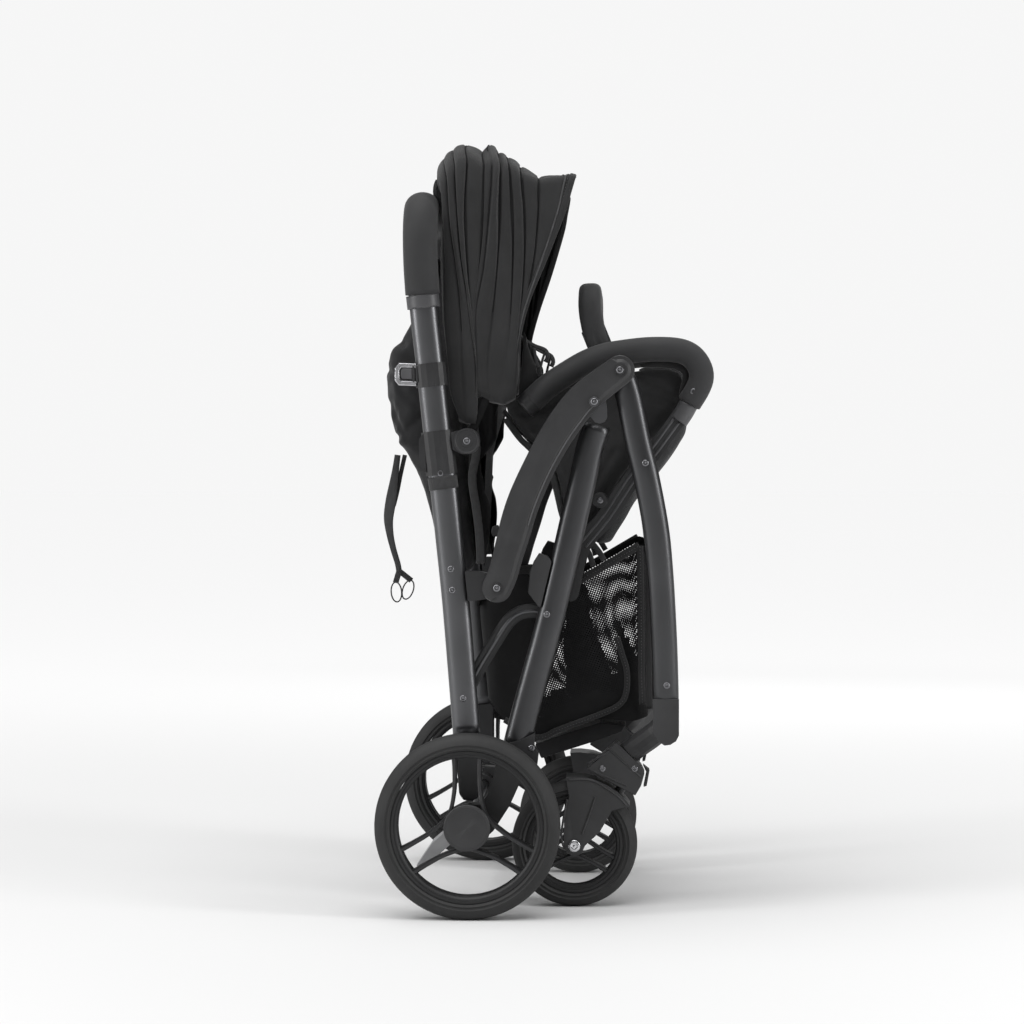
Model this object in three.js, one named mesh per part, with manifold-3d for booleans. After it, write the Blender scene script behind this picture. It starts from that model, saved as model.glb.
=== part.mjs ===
// Folded baby stroller, standing on its four wheels.
// Millimetres, +Z up, +X towards the front wheels, -Y is the child's right hand side.
import * as THREE from 'three';
import { mergeVertices } from 'three/addons/utils/BufferGeometryUtils.js';
import Module from 'manifold-3d';

const wasm = await Module();
wasm.setup();

// ---------------------------------------------------------------- driving dimensions
const SHIFT_X = -55; // moves the drawing so that the footprint is centred on the origin
const GAP = 0.4; // clearance kept between neighbouring solids
const SIDES = { right: -1, left: 1 }; // sign of Y on each side

// pivots and screws seen from the side, as [x, z]
const REAR_LEG_TOP = [122, 706];
const FRONT_LEG_TOP = [157, 749];
const HANDLE_PIVOT = [-11, 451];
const GUIDE_FRONT = [57, 414];
const GUIDE_REAR = [-58, 298];
const SEAT_PIVOT = [192, 622];
const CANOPY_PIVOT = [-53, 652];
const REAR_AXLE = [-50, 127];
const FRONT_AXLE = [94, 88];

// layers across the width, as distances from the middle plane
const LEG_Y = 222; // centre of the legs and the handle tube
const LEG_HALF_WIDTH = 19; // tube section, fore and aft
const LEG_HALF_DEPTH = 12; // tube section, across
const FITTING_Y = [212, 232]; // plastic fittings that sit in line with the tubes
const LINK_Y = [236.5, 250]; // flat armrest links, outside the tubes
const PIN_END_Y = 253; // outer end of the hinge pins
const GUIDE_Y = [197, 207]; // curved guide links, inside the tubes
const BAR_Y = 181; // centre of the armrest bars and seat rails
const RAIL_HALF_DEPTH = 8;
const SEAT_HALF_WIDTH = 164;
const BASKET_HALF_WIDTH = 165;
const BOW_Y = 206.5; // canopy bow arms
const HOOD_Y = 213; // outside of the canopy fabric
const HOOD_THICKNESS = 3;

const PIN_R = 7;
const HINGE_PIN_R = 5.4;
const HINGE_BORE_R = 6;
const REAR_WHEEL = { r: 127, rim: 110, opening: 98, hub: 25, bore: 6.5, y: 274, half: 21 };
const FRONT_WHEEL = { r: 88, rim: 71, opening: 58, hub: 15, bore: 5.4, y: 154, half: 19 };
const CHEEK = { inner: 22, outer: 28 }; // fork cheeks, measured from the middle of the wheel
const AXLE_R = 6;
const FRONT_BOLT_R = 5;
const CASTER_TILT = THREE.MathUtils.degToRad(32); // swivel axis from the vertical, folded
const CASTER_TRAIL = 14; // axle to swivel axis
const FENDER = { inner: 90.5, outer: 96 }; // arc of the fork crown round the front axle
const HOUSING_FLOOR = 100; // underside of the caster housing, along the swivel axis from the axle
const ARMREST_R = 17;
const BUMPER_R = 16.5;
const GRIP = { width: 24, depth: 21, boreWidth: 21.5, boreDepth: 14.5 };

// ---------------------------------------------------------------- materials
function finish(color, roughness, metalness) {
  return new THREE.MeshStandardMaterial({ color, roughness, metalness });
}
const TUBE = finish(0x3a3b3d, 0.42, 0.75);
const PLASTIC = finish(0x1f2022, 0.6, 0.0);
const FOAM = finish(0x1a1a1b, 0.9, 0.0);
const FABRIC = finish(0x151516, 0.95, 0.0);
const RUBBER = finish(0x202021, 0.85, 0.0);
const STEEL = finish(0xb9bcc0, 0.3, 1.0);
const PEDAL_PLASTIC = finish(0x9a9c9e, 0.55, 0.0);

// ---------------------------------------------------------------- solid helpers
const stroller = new THREE.Group();
stroller.position.x = SHIFT_X;

function add(name, geometry, material) {
  const mesh = new THREE.Mesh(geometry, material);
  mesh.name = name;
  stroller.add(mesh);
}

function toSolid(geometry) {
  const bare = geometry.clone();
  bare.deleteAttribute('normal');
  bare.deleteAttribute('uv');
  const merged = mergeVertices(bare, 1e-3);
  const index = merged.index.array;
  const kept = [];
  for (let i = 0; i < index.length; i += 3) {
    const [a, b, c] = [index[i], index[i + 1], index[i + 2]];
    if (a !== b && b !== c && c !== a) kept.push(a, b, c);
  }
  const mesh = new wasm.Mesh({
    numProp: 3,
    vertProperties: new Float32Array(merged.attributes.position.array),
    triVerts: new Uint32Array(kept),
  });
  return new wasm.Manifold(mesh);
}

function toGeometry(solid) {
  const mesh = solid.getMesh();
  const geometry = new THREE.BufferGeometry();
  geometry.setAttribute('position', new THREE.BufferAttribute(mesh.vertProperties, 3));
  geometry.setIndex(new THREE.BufferAttribute(mesh.triVerts, 1));
  return geometry;
}

function join(...geometries) {
  const solids = geometries.map(toSolid);
  return toGeometry(solids.reduce((whole, next) => whole.add(next)));
}

function cut(geometry, ...tools) {
  const solids = tools.map(toSolid);
  return toGeometry(solids.reduce((whole, tool) => whole.subtract(tool), toSolid(geometry)));
}

// A plate whose outline is a shape in the X-Z plane, between two values of Y.
function plate(shape, y0, y1, curveSegments = 6) {
  const depth = Math.abs(y1 - y0);
  const geometry = new THREE.ExtrudeGeometry(shape, { depth, bevelEnabled: false, curveSegments });
  geometry.rotateX(Math.PI / 2);
  geometry.translate(0, Math.max(y0, y1), 0);
  return geometry;
}

function polygon(points) {
  const corners = points.map(([x, z]) => new THREE.Vector2(x, z));
  if (THREE.ShapeUtils.isClockWise(corners)) corners.reverse();
  return new THREE.Shape(corners);
}

function disc([x, z], r) {
  const shape = new THREE.Shape();
  shape.absarc(x, z, r, 0, 2 * Math.PI);
  return shape;
}

// A round bar along Y.
function rod([x, z], r, y0, y1, sides = 16) {
  const geometry = new THREE.CylinderGeometry(r, r, Math.abs(y1 - y0), sides);
  geometry.translate(x, (y0 + y1) / 2, z);
  return geometry;
}

// The outline of a strip of varying half width along a smooth centre line, with round ends.
function strip(centre, halfWidths, samples = 18, endSegments = 5) {
  const line = new THREE.SplineCurve(centre.map(([x, z]) => new THREE.Vector2(x, z)));
  const left = [];
  const right = [];
  const widthAt = (t) => {
    const place = t * (halfWidths.length - 1);
    const k = Math.min(Math.floor(place), halfWidths.length - 2);
    return THREE.MathUtils.lerp(halfWidths[k], halfWidths[k + 1], place - k);
  };
  for (let i = 0; i <= samples; i += 1) {
    const t = i / samples;
    const p = line.getPoint(t);
    const d = line.getTangent(t);
    const w = widthAt(t);
    left.push([p.x - d.y * w, p.y + d.x * w]);
    right.unshift([p.x + d.y * w, p.y - d.x * w]);
  }
  const cap = (t, turn) => {
    const p = line.getPoint(t);
    const d = line.getTangent(t);
    const heading = Math.atan2(d.y, d.x) + turn;
    const points = [];
    for (let i = 1; i < endSegments; i += 1) {
      const a = heading - (i * Math.PI) / endSegments;
      points.push([p.x + Math.cos(a) * widthAt(t), p.y + Math.sin(a) * widthAt(t)]);
    }
    return points;
  };
  return polygon([...left, ...cap(1, Math.PI / 2), ...right, ...cap(0, -Math.PI / 2)]);
}

function ellipse(halfX, halfY, sides) {
  const points = [];
  for (let i = 0; i < sides; i += 1) {
    const a = (2 * Math.PI * (i + 0.5)) / sides;
    points.push(new THREE.Vector2(halfX * Math.cos(a), halfY * Math.sin(a)));
  }
  return new THREE.Shape(points);
}

// A bar of constant section along a smooth path; halfDepth is across, halfWidth in the path's plane.
function sweep(points, halfWidth, halfDepth, steps, sides = 12, bore = null) {
  const section = ellipse(halfDepth, halfWidth, sides);
  if (bore) section.holes.push(ellipse(bore.depth, bore.width, sides));
  const path = new THREE.CatmullRomCurve3(points.map((p) => new THREE.Vector3(...p)));
  return new THREE.ExtrudeGeometry(section, { steps, bevelEnabled: false, extrudePath: path });
}

// Puts side-view points [x, z] on one side of the stroller.
function onSide(points, y) {
  return points.map(([x, z]) => [x, y, z]);
}

// A pin with a head, through a link from a fitting behind it.
function hingePin(at, side) {
  const shank = rod(at, HINGE_PIN_R, side * 222, side * PIN_END_Y, 12);
  const head = rod(at, HINGE_PIN_R + 1.8, side * (LINK_Y[1] + GAP), side * PIN_END_Y, 12);
  return join(shank, head);
}

// A closed sheet between an outer and an inner grid of points.
function thinShell(outer, inner) {
  const rows = outer.length;
  const columns = outer[0].length;
  const positions = [...outer.flat(), ...inner.flat()].flat();
  const index = [];
  const at = (r, c, layer) => layer * rows * columns + r * columns + c;
  const quad = (a, b, c, d) => index.push(a, c, b, a, d, c);
  for (let r = 0; r < rows - 1; r += 1) {
    for (let c = 0; c < columns - 1; c += 1) {
      quad(at(r, c, 0), at(r, c + 1, 0), at(r + 1, c + 1, 0), at(r + 1, c, 0));
      quad(at(r, c, 1), at(r + 1, c, 1), at(r + 1, c + 1, 1), at(r, c + 1, 1));
    }
  }
  for (let c = 0; c < columns - 1; c += 1) {
    quad(at(0, c, 0), at(0, c, 1), at(0, c + 1, 1), at(0, c + 1, 0));
    quad(at(rows - 1, c, 0), at(rows - 1, c + 1, 0), at(rows - 1, c + 1, 1), at(rows - 1, c, 1));
  }
  for (let r = 0; r < rows - 1; r += 1) {
    quad(at(r, 0, 0), at(r + 1, 0, 0), at(r + 1, 0, 1), at(r, 0, 1));
    quad(at(r, columns - 1, 0), at(r, columns - 1, 1), at(r + 1, columns - 1, 1), at(r + 1, columns - 1, 0));
  }
  const geometry = new THREE.BufferGeometry();
  geometry.setAttribute('position', new THREE.Float32BufferAttribute(positions, 3));
  geometry.setIndex(index);
  return geometry;
}

// ---------------------------------------------------------------- shared outlines
const REAR_LEG_LINE = [[15, 232], [35, 309], [54, 378], [68, 433], [81, 488], [94, 545], [106, 597], [115, 640], [126, 675]];
const FRONT_LEG_LINE = [
  [157, 749, 222], [170, 708, 222], [181, 654, 222], [194, 600, 222], [207, 530, 218],
  [213, 470, 214], [217, 406, 210], [219.5, 351, 205], [221, 297, 201],
];
const HANDLE_LINE = [
  [-54, 249], [-60, 325], [-69, 433], [-77, 510], [-85, 585], [-95, 667], [-104, 750], [-113, 832], [-117, 895],
];
const AXLE_HOUSING = [
  [0, 236], [20, 241], [41, 251], [40, 232], [46, 224], [44, 206], [33, 206], [24, 190], [6, 150],
  [-16, 116], [-30, 103], [-50, 100], [-70, 108], [-76, 127], [-66, 148], [-50, 152.5], [-34, 152], [-24, 166], [-12, 205],
];
const CASTER_HOUSING = [
  [110, 193.5], [133, 214], [153, 232], [187, 199], [192, 189], [187, 171], [179, 157.5],
];

// ---------------------------------------------------------------- rear frame
function rearLegTube(side) {
  const body = sweep(onSide(REAR_LEG_LINE, side * LEG_Y), LEG_HALF_WIDTH, LEG_HALF_DEPTH, 18);
  const socket = plate(polygon(AXLE_HOUSING), side * 200, side * 244);
  return cut(body, socket);
}

function rearLegTongue(side) {
  const flat = plate(strip([[129, 687], REAR_LEG_TOP], [11, 17], 6), side * FITTING_Y[0], side * FITTING_Y[1]);
  return join(flat, hingePin(REAR_LEG_TOP, side));
}

function rearAxleHousing(side) {
  const [x, z] = REAR_AXLE;
  const casting = plate(polygon(AXLE_HOUSING.map(([px, pz]) => [px - 0.3, pz - GAP])), side * 208, side * 236);
  const boss = rod([x, z], 17, side * 230, side * 251);
  const innerBoss = rod([x, z], 15, side * 198, side * 212);
  const bore = rod([x, z], AXLE_R + 0.3, side * 190, side * 260);
  return cut(join(casting, boss, innerBoss), bore);
}

function latchBracket(side) {
  const outline = polygon([[46, 498], [58, 494], [70, 478], [60, 425], [46, 424], [31, 444], [34, 474], [39, 487]]);
  const block = plate(outline, side * FITTING_Y[0], side * FITTING_Y[1]);
  const leg = sweep(onSide(REAR_LEG_LINE, side * LEG_Y), LEG_HALF_WIDTH + 0.8, LEG_HALF_DEPTH + 8, 18);
  return cut(block, leg);
}

function basketTray() {
  const outline = polygon([[38, 226], [47, 206], [130, 233], [160, 244], [166, 254], [130, 257], [74, 239]]);
  return plate(outline, -150, 150);
}

// ---------------------------------------------------------------- wheels
function tyre(wheel, [x, z], side) {
  const crown = wheel.half * 0.55;
  const profile = [
    [wheel.rim, -wheel.half + 3], [wheel.rim + 5, -wheel.half], [wheel.r - 5, -wheel.half * 0.82],
    [wheel.r, -crown], [wheel.r, crown],
    [wheel.r - 5, wheel.half * 0.82], [wheel.rim + 5, wheel.half], [wheel.rim, wheel.half - 3],
    [wheel.rim, -wheel.half + 3],
  ];
  const geometry = new THREE.LatheGeometry(profile.map(([r, y]) => new THREE.Vector2(r, y)), 40);
  geometry.translate(x, side * wheel.y, z);
  return geometry;
}

// Rim, hub and three curved spokes; each spoke runs from rim to rim and bends in to touch the hub.
function rim(wheel, [x, z], side) {
  const half = wheel.half - 4;
  const rimRing = new THREE.Shape();
  rimRing.absarc(x, z, wheel.rim - GAP, 0, 2 * Math.PI);
  rimRing.holes.push(disc([x, z], wheel.opening));
  const parts = [plate(rimRing, side * wheel.y - half, side * wheel.y + half, 20)];
  parts.push(rod([x, z], wheel.hub, side * (wheel.y - half - 1), side * (wheel.y + half - 3), 18));
  const reach = wheel.opening + 2;
  for (let k = 0; k < 3; k += 1) {
    const middle = -Math.PI / 2 + (k * 2 * Math.PI) / 3;
    const spokeAt = (r, offset) => [x + r * Math.cos(middle + offset), z + r * Math.sin(middle + offset)];
    const line = [
      spokeAt(reach, -0.86), spokeAt(reach * 0.52, -0.8), spokeAt(wheel.hub + 4, 0),
      spokeAt(reach * 0.52, 0.8), spokeAt(reach, 0.86),
    ];
    const spokeHalf = wheel.half * 0.22;
    const outline = strip(line, [spokeHalf, spokeHalf], 10, 2);
    parts.push(plate(outline, side * wheel.y - half * 0.7, side * wheel.y + half * 0.7));
  }
  return cut(join(...parts), rod([x, z], wheel.bore, side * (wheel.y - 40), side * (wheel.y + 40)));
}

function rearHubCap(side) {
  const [x, z] = REAR_AXLE;
  const outer = side * (REAR_WHEEL.y + REAR_WHEEL.half + 1);
  return rod([x, z], 32, side * (REAR_WHEEL.y + REAR_WHEEL.half - 7 + GAP), outer, 28);
}

function frontAxleBolt(side) {
  const { y } = FRONT_WHEEL;
  const reach = CHEEK.outer + 4.5;
  const shank = rod(FRONT_AXLE, FRONT_BOLT_R, side * (y - reach + 1), side * (y + reach - 1), 12);
  const outerHead = rod(FRONT_AXLE, 8, side * (y + CHEEK.outer + GAP), side * (y + reach), 12);
  const innerHead = rod(FRONT_AXLE, 8, side * (y - reach), side * (y - CHEEK.outer - GAP), 12);
  return join(shank, outerHead, innerHead);
}

// ---------------------------------------------------------------- front legs and casters
function casterPoint(along, across) {
  const [x, z] = FRONT_AXLE;
  const [s, c] = [Math.sin(CASTER_TILT), Math.cos(CASTER_TILT)];
  return [x + along * s + across * c, z + along * c - across * s];
}

function swivelRod(r, from, to, y) {
  const geometry = new THREE.CylinderGeometry(r, r, to - from, 16);
  geometry.rotateX(Math.PI / 2);
  geometry.rotateY(CASTER_TILT);
  const [x, z] = casterPoint((from + to) / 2, CASTER_TRAIL);
  geometry.translate(x, y, z);
  return geometry;
}

function frontFork(side) {
  const [x, z] = FRONT_AXLE;
  const arcPoint = (r, degrees) => {
    const a = THREE.MathUtils.degToRad(degrees);
    return [x + r * Math.cos(a), z + r * Math.sin(a)];
  };
  const crownAngles = [97, 88, 79, 70, 61, 52, 43, 36];
  const crownOuter = crownAngles.map((a) => arcPoint(FENDER.outer, a));
  const crownInner = crownAngles.map((a) => arcPoint(FENDER.inner, a)).reverse();
  const bottom = [0, -45, -90, -135, -180].map((a) => arcPoint(15, a));
  const cheek = polygon([...crownOuter, arcPoint(72, 43), arcPoint(40, 28), ...bottom, arcPoint(41, 110), arcPoint(68, 96)]);
  const { y } = FRONT_WHEEL;
  const parts = [
    plate(polygon([...crownOuter, ...crownInner]), side * (y - CHEEK.outer), side * (y + CHEEK.outer)),
    plate(cheek, side * (y - CHEEK.outer), side * (y - CHEEK.inner)),
    plate(cheek, side * (y + CHEEK.inner), side * (y + CHEEK.outer)),
    swivelRod(PIN_R, 92, 130, side * y),
  ];
  return cut(join(...parts), rod(FRONT_AXLE, FRONT_BOLT_R + 0.4, side * (y - 45), side * (y + 45), 12));
}

function casterHousing(side) {
  const block = plate(polygon(CASTER_HOUSING), side * (FRONT_WHEEL.y - 21), side * (FRONT_WHEEL.y + 21));
  const below = casterPoint(HOUSING_FLOOR, 0);
  const floorCut = polygon([
    below, casterPoint(HOUSING_FLOOR, 200), casterPoint(0, 200), casterPoint(0, -200), casterPoint(HOUSING_FLOOR, -200),
  ]);
  const bore = swivelRod(PIN_R + 0.5, 80, 134, side * FRONT_WHEEL.y);
  return cut(block, plate(floorCut, side * 100, side * 250), bore);
}

function swivelLock(side) {
  const outline = polygon([[189.5, 199.5], [199, 192], [195, 170], [190.5, 168.5], [194.5, 189]]);
  return plate(outline, side * (FRONT_WHEEL.y - 12), side * (FRONT_WHEEL.y + 12));
}

function frontLegTube(side) {
  const path = FRONT_LEG_LINE.map(([x, z, y]) => [x, side * y, z]);
  const tube = sweep(path, 18, LEG_HALF_DEPTH, 20);
  const eye = plate(disc(FRONT_LEG_TOP, 18), side * FITTING_Y[0], side * FITTING_Y[1], 16);
  return join(tube, eye, hingePin(FRONT_LEG_TOP, side));
}

function frontLegElbow(side) {
  const outline = polygon([
    [203, 296], [239, 296], [239, 246], [235, 238], [227, 233], [219, 232], [210, 238], [203, 250],
  ]);
  const casting = plate(outline, side * 187, side * 215);
  const stub = sweep(
    [[222, side * 199, 262], [205, side * 188, 245], [183, side * 169, 227], [160, side * FRONT_WHEEL.y, 208]],
    17, 13, 8);
  const socket = plate(polygon([[90, 192], [133, 214.5], [153.4, 232.6], [187.6, 199.6], [195, 189], [187, 150]]),
    side * 100, side * 250);
  return cut(join(casting, stub), socket);
}

function footrestBar() {
  return rod([221, 268], 10, -179.4, 179.4, 14);
}

// ---------------------------------------------------------------- links
function armrestLink(side) {
  const centre = [
    FRONT_LEG_TOP, [113, 715], [88, 686], [65, 651], [42, 607], [23, 562], [9, 513], [-3, 470], HANDLE_PIVOT,
  ];
  const outline = strip(centre, [20.5, 22, 23, 22.5, 22, 22.5, 22.5, 20.5, 20.5], 22);
  const bores = [FRONT_LEG_TOP, REAR_LEG_TOP, HANDLE_PIVOT];
  bores.forEach((at) => outline.holes.push(disc(at, HINGE_BORE_R)));
  return plate(outline, side * LINK_Y[0], side * LINK_Y[1], 7);
}

function guideLink(side) {
  const centre = [GUIDE_FRONT, [38, 417], [19, 414], [3, 402], [-13, 378], [-39, 335], GUIDE_REAR];
  const strap = plate(strip(centre, [10, 10.5, 10.5, 10], 12), side * GUIDE_Y[0], side * GUIDE_Y[1]);
  const reach = side * (LEG_Y - LEG_HALF_DEPTH - 0.6);
  const bosses = [GUIDE_FRONT, GUIDE_REAR].map((at) => rod(at, 7, side * 200, reach, 10));
  return join(strap, ...bosses);
}

// ---------------------------------------------------------------- handle
function handlePath(lowest, half) {
  const up = HANDLE_LINE.filter(([, z]) => z >= lowest).map(([x, z]) => [x, -LEG_Y, z]);
  const over = [[-118, -219, 937], [-118, -201, 967], [-118, -165, 978], [-118, -60, 978]];
  const start = half ? [half] : [];
  const right = [...start, ...up, ...over];
  const left = right.map(([x, y, z]) => [x, -y, z]).reverse();
  return [...right, ...left];
}

function handleTube() {
  return sweep(handlePath(0), LEG_HALF_WIDTH, LEG_HALF_DEPTH, 64, 12);
}

function handleGrip() {
  const bore = { width: GRIP.boreWidth, depth: GRIP.boreDepth };
  return sweep(handlePath(890, [-114.5, -LEG_Y, 853]), GRIP.width, GRIP.depth, 40, 12, bore);
}

// A ring that fits round the handle tube between two heights.
function tubeRing(bottom, top, side, wall) {
  const bore = { width: LEG_HALF_WIDTH + 0.6, depth: LEG_HALF_DEPTH + 0.6 };
  const ends = [[bottom[0], side * LEG_Y, bottom[1]], [top[0], side * LEG_Y, top[1]]];
  return sweep(ends, LEG_HALF_WIDTH + wall, LEG_HALF_DEPTH + 2, 2, 16, bore);
}

function clipCollar(side) {
  const ring = tubeRing([-101.6, 727], [-105, 759], side, 3);
  const frame = polygon([[-124, 729], [-146, 730], [-151, 736], [-151, 752], [-146, 758], [-124, 757]]);
  frame.holes.push(polygon([[-129, 735], [-143, 735], [-146, 739], [-146, 749], [-143, 753], [-129, 752]]));
  return join(ring, plate(frame, side * 215, side * 229));
}

function canopyBracket(side) {
  const ring = tubeRing([-88.2, 606], [-95, 666], side, 3);
  const [x, z] = CANOPY_PIVOT;
  const arm = polygon([[-72.5, 640], [-60, 634], [x, 634], [x, 670], [-60, 668], [-75.5, 664]]);
  const hub = rod(CANOPY_PIVOT, 18, side * 214, side * 232, 20);
  const flap = polygon([[-113, 662], [-119, 655], [-119, 622], [-113, 610], [-108.5, 609], [-112, 662]]);
  const tube = sweep(onSide(HANDLE_LINE, side * LEG_Y), LEG_HALF_WIDTH + 0.6, LEG_HALF_DEPTH + 0.6, 30, 16);
  return cut(join(ring, plate(arm, side * 215, side * 230), hub, plate(flap, side * 214, side * 230)), tube);
}

function handlePlug(side) {
  const outline = polygon([
    [-68, 247.6], [-40.4, 249.7], [-36, 244], [-36, 176], [-38, 160], [-46, 156.4], [-58, 157], [-64, 166], [-68, 215],
  ]);
  return plate(outline, side * FITTING_Y[0], side * FITTING_Y[1]);
}

function handleEar(side) {
  const [x, z] = HANDLE_PIVOT;
  const outline = strip([[-60, 452], [-36, 453], [x, z]], [21, 20, 14], 8);
  const ear = plate(outline, side * FITTING_Y[0], side * FITTING_Y[1]);
  const tube = sweep(onSide(HANDLE_LINE, side * LEG_Y), LEG_HALF_WIDTH + 1, LEG_HALF_DEPTH + 10, 30);
  const behind = plate(polygon([[-130, 380], [-75, 380], [-75, 520], [-130, 520]]), side * 200, side * 245);
  return join(cut(ear, tube, behind), hingePin(HANDLE_PIVOT, side));
}

// ---------------------------------------------------------------- seat
function armrestBar(side) {
  const line = [
    [35, 708], [57, 728], [84, 746], [110, 761], [134, 770], [160, 775], [198, 779], [234, 778], [254, 771],
    [266, 757], [270, 741], [265, 725], [253, 705],
  ];
  return sweep(onSide(line, side * BAR_Y), ARMREST_R, ARMREST_R, 30, 10);
}

function seatRail(side) {
  const centre = [[241, 687], [206, 640], [174, 600], [139, 547], [104, 505], [89, 440]];
  const outline = strip(centre, [11.5, 12, 12, 13, 12, 11], 14);
  const y = [side * (BAR_Y - RAIL_HALF_DEPTH), side * (BAR_Y + RAIL_HALF_DEPTH)];
  const boss = rod([187, 622], 10, side * BAR_Y, side * (LEG_Y - LEG_HALF_DEPTH - GAP), 12);
  return join(plate(outline, ...y), boss);
}

function bumperBar() {
  const right = [
    [131, -150, 779], [122, -150, 800], [116, -150, 822], [113, -146, 842], [113, -128, 858], [113, -100, 863],
  ];
  const left = right.map(([x, y, z]) => [x, -y, z]).reverse();
  return sweep([...right, ...left], BUMPER_R, BUMPER_R, 34, 10);
}

function seatCover() {
  const pan = plate(strip([[244, 680], [214, 636], [182, 596], [150, 548], [128, 512]], [13, 13], 8, 3),
    -SEAT_HALF_WIDTH, SEAT_HALF_WIDTH);
  const wing = [
    [-14, 702], [40, 710], [90, 733], [130, 748], [200, 760], [244, 752], [254, 735], [250, 700], [160, 590],
    [122, 512], [92, 504], [76, 545], [60, 605], [34, 636], [16, 653], [-5, 681],
  ];
  const wings = Object.values(SIDES).map((side) => plate(polygon(wing), side * 152, side * SEAT_HALF_WIDTH));
  return join(pan, ...wings);
}

function seatSling() {
  const outline = polygon([
    [-44, 738], [-12, 734], [-8, 705], [-14, 667], [-14, 653], [-28, 636], [-40, 618], [-25, 569], [-22, 541], [-26, 499],
    [-30, 470], [-40, 468], [-48, 520], [-56, 600], [-60, 660], [-60, 700],
  ]);
  return plate(outline, -150, 150);
}

function backrestPad() {
  const outline = polygon([
    [-46, 462], [-51, 500], [-60, 580], [-66, 650], [-74, 720], [-84, 800], [-93, 870], [-96, 918], [-104, 926],
    [-114, 922], [-122, 870], [-128, 830], [-146, 796], [-160, 784], [-171, 749], [-166, 700], [-156, 650],
    [-136, 630], [-118, 596], [-104, 540], [-94, 470], [-70, 456],
  ]);
  return plate(outline, -158, 158);
}

// ---------------------------------------------------------------- canopy
// Each rib is a side-view line from the hinge upwards and the height at which it crosses the middle.
const HOOD_RIBS = [
  { side: [[-48, 700], [-64, 800], [-78, 890], [-84, 960], [-88, 1010]], top: [-98, 1046] },
  { side: [[-44, 690], [-52, 800], [-62, 900], [-68, 980], [-70, 1030]], top: [-84, 1071] },
  { side: [[-38, 686], [-34, 800], [-31, 900], [-30, 980], [-30, 1036]], top: [-46, 1075] },
  { side: [[-22, 700], [-6, 800], [-6, 900], [-8, 970], [-10, 1030]], top: [-16, 1066] },
  { side: [[-8, 708], [14, 800], [19, 880], [16, 960], [7, 1024]], top: [2, 1057] },
  { side: [[16, 770], [34, 820], [48, 880], [66, 944], [92, 1004]], top: [92, 1033] },
];

function arch(rib, halfWidth, inset, samples) {
  const right = rib.side.map(([x, z], i) => [x, -halfWidth + (i === 4 ? 7 : 0), z - (i === 4 ? inset : 0)]);
  const towardsTop = (share, y) => [
    THREE.MathUtils.lerp(rib.side[4][0], rib.top[0], share), y,
    THREE.MathUtils.lerp(rib.side[4][1], rib.top[1], share) - inset,
  ];
  const half = [...right, towardsTop(0.55, 32 - halfWidth), towardsTop(0.88, -halfWidth * 0.55)];
  const other = half.map(([x, y, z]) => [x, -y, z]).reverse();
  const points = [...half, [rib.top[0], 0, rib.top[1] - inset], ...other].map((p) => new THREE.Vector3(...p));
  return new THREE.CatmullRomCurve3(points).getSpacedPoints(samples).map((p) => [p.x, p.y, p.z]);
}

function canopyHood() {
  const outer = HOOD_RIBS.map((rib) => arch(rib, HOOD_Y, 0, 24));
  const inner = HOOD_RIBS.map((rib) => arch(rib, HOOD_Y - HOOD_THICKNESS, HOOD_THICKNESS + 1, 24));
  return thinShell(outer, inner);
}

function canopyFrontBow() {
  const right = [
    [-53, -BOW_Y, 652], [-18, -BOW_Y, 735], [8, -BOW_Y, 815], [14, -BOW_Y, 900], [11, -206, 955],
    [6, -203.5, 992], [2, -196, 1014], [-1, -176, 1026], [-2, -120, 1032],
  ];
  const left = right.map(([x, y, z]) => [x, -y, z]).reverse();
  return sweep([...right, ...left], 6, 2.4, 44, 6);
}

// ---------------------------------------------------------------- basket, pedal and strap
function basket() {
  const outline = [
    [-30, 292], [-42, 380], [-40, 452], [-8, 460], [24, 466], [46, 454], [62, 434], [81, 446], [185, 509],
    [199, 431], [199, 264], [172, 258], [130, 262], [74, 246], [39, 233], [-6, 262],
  ];
  const inside = [
    [-24, 295], [-37, 382], [-35, 447], [-8, 454], [22, 460], [42, 449], [55, 434], [62, 700], [188, 700],
    [194, 431], [194, 270], [171, 264], [129, 268], [72, 251], [40, 239], [-2, 266],
  ];
  const inner = BASKET_HALF_WIDTH - 4;
  return cut(
    plate(polygon(outline), -BASKET_HALF_WIDTH, BASKET_HALF_WIDTH),
    plate(polygon(inside), -inner, inner),
  );
}

function brakePedal() {
  const paddle = polygon([[-50, 116], [-90, 80], [-119, 53], [-126, 60], [-104, 92], [-56, 134]]);
  const sleeve = rod(REAR_AXLE, 12, -192, -142, 16);
  const bore = rod(REAR_AXLE, AXLE_R + 0.5, -210, -120, 16);
  return cut(join(plate(paddle, -190, -144), sleeve), bore);
}

function pullStrap() {
  const line = [[-157, 632], [-160, 610], [-163, 590], [-167, 565], [-170, 542], [-168, 520], [-163, 498], [-157, 478], [-155, 466]];
  return sweep(onSide(line, -120), 6, 6, 14, 8);
}

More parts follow.
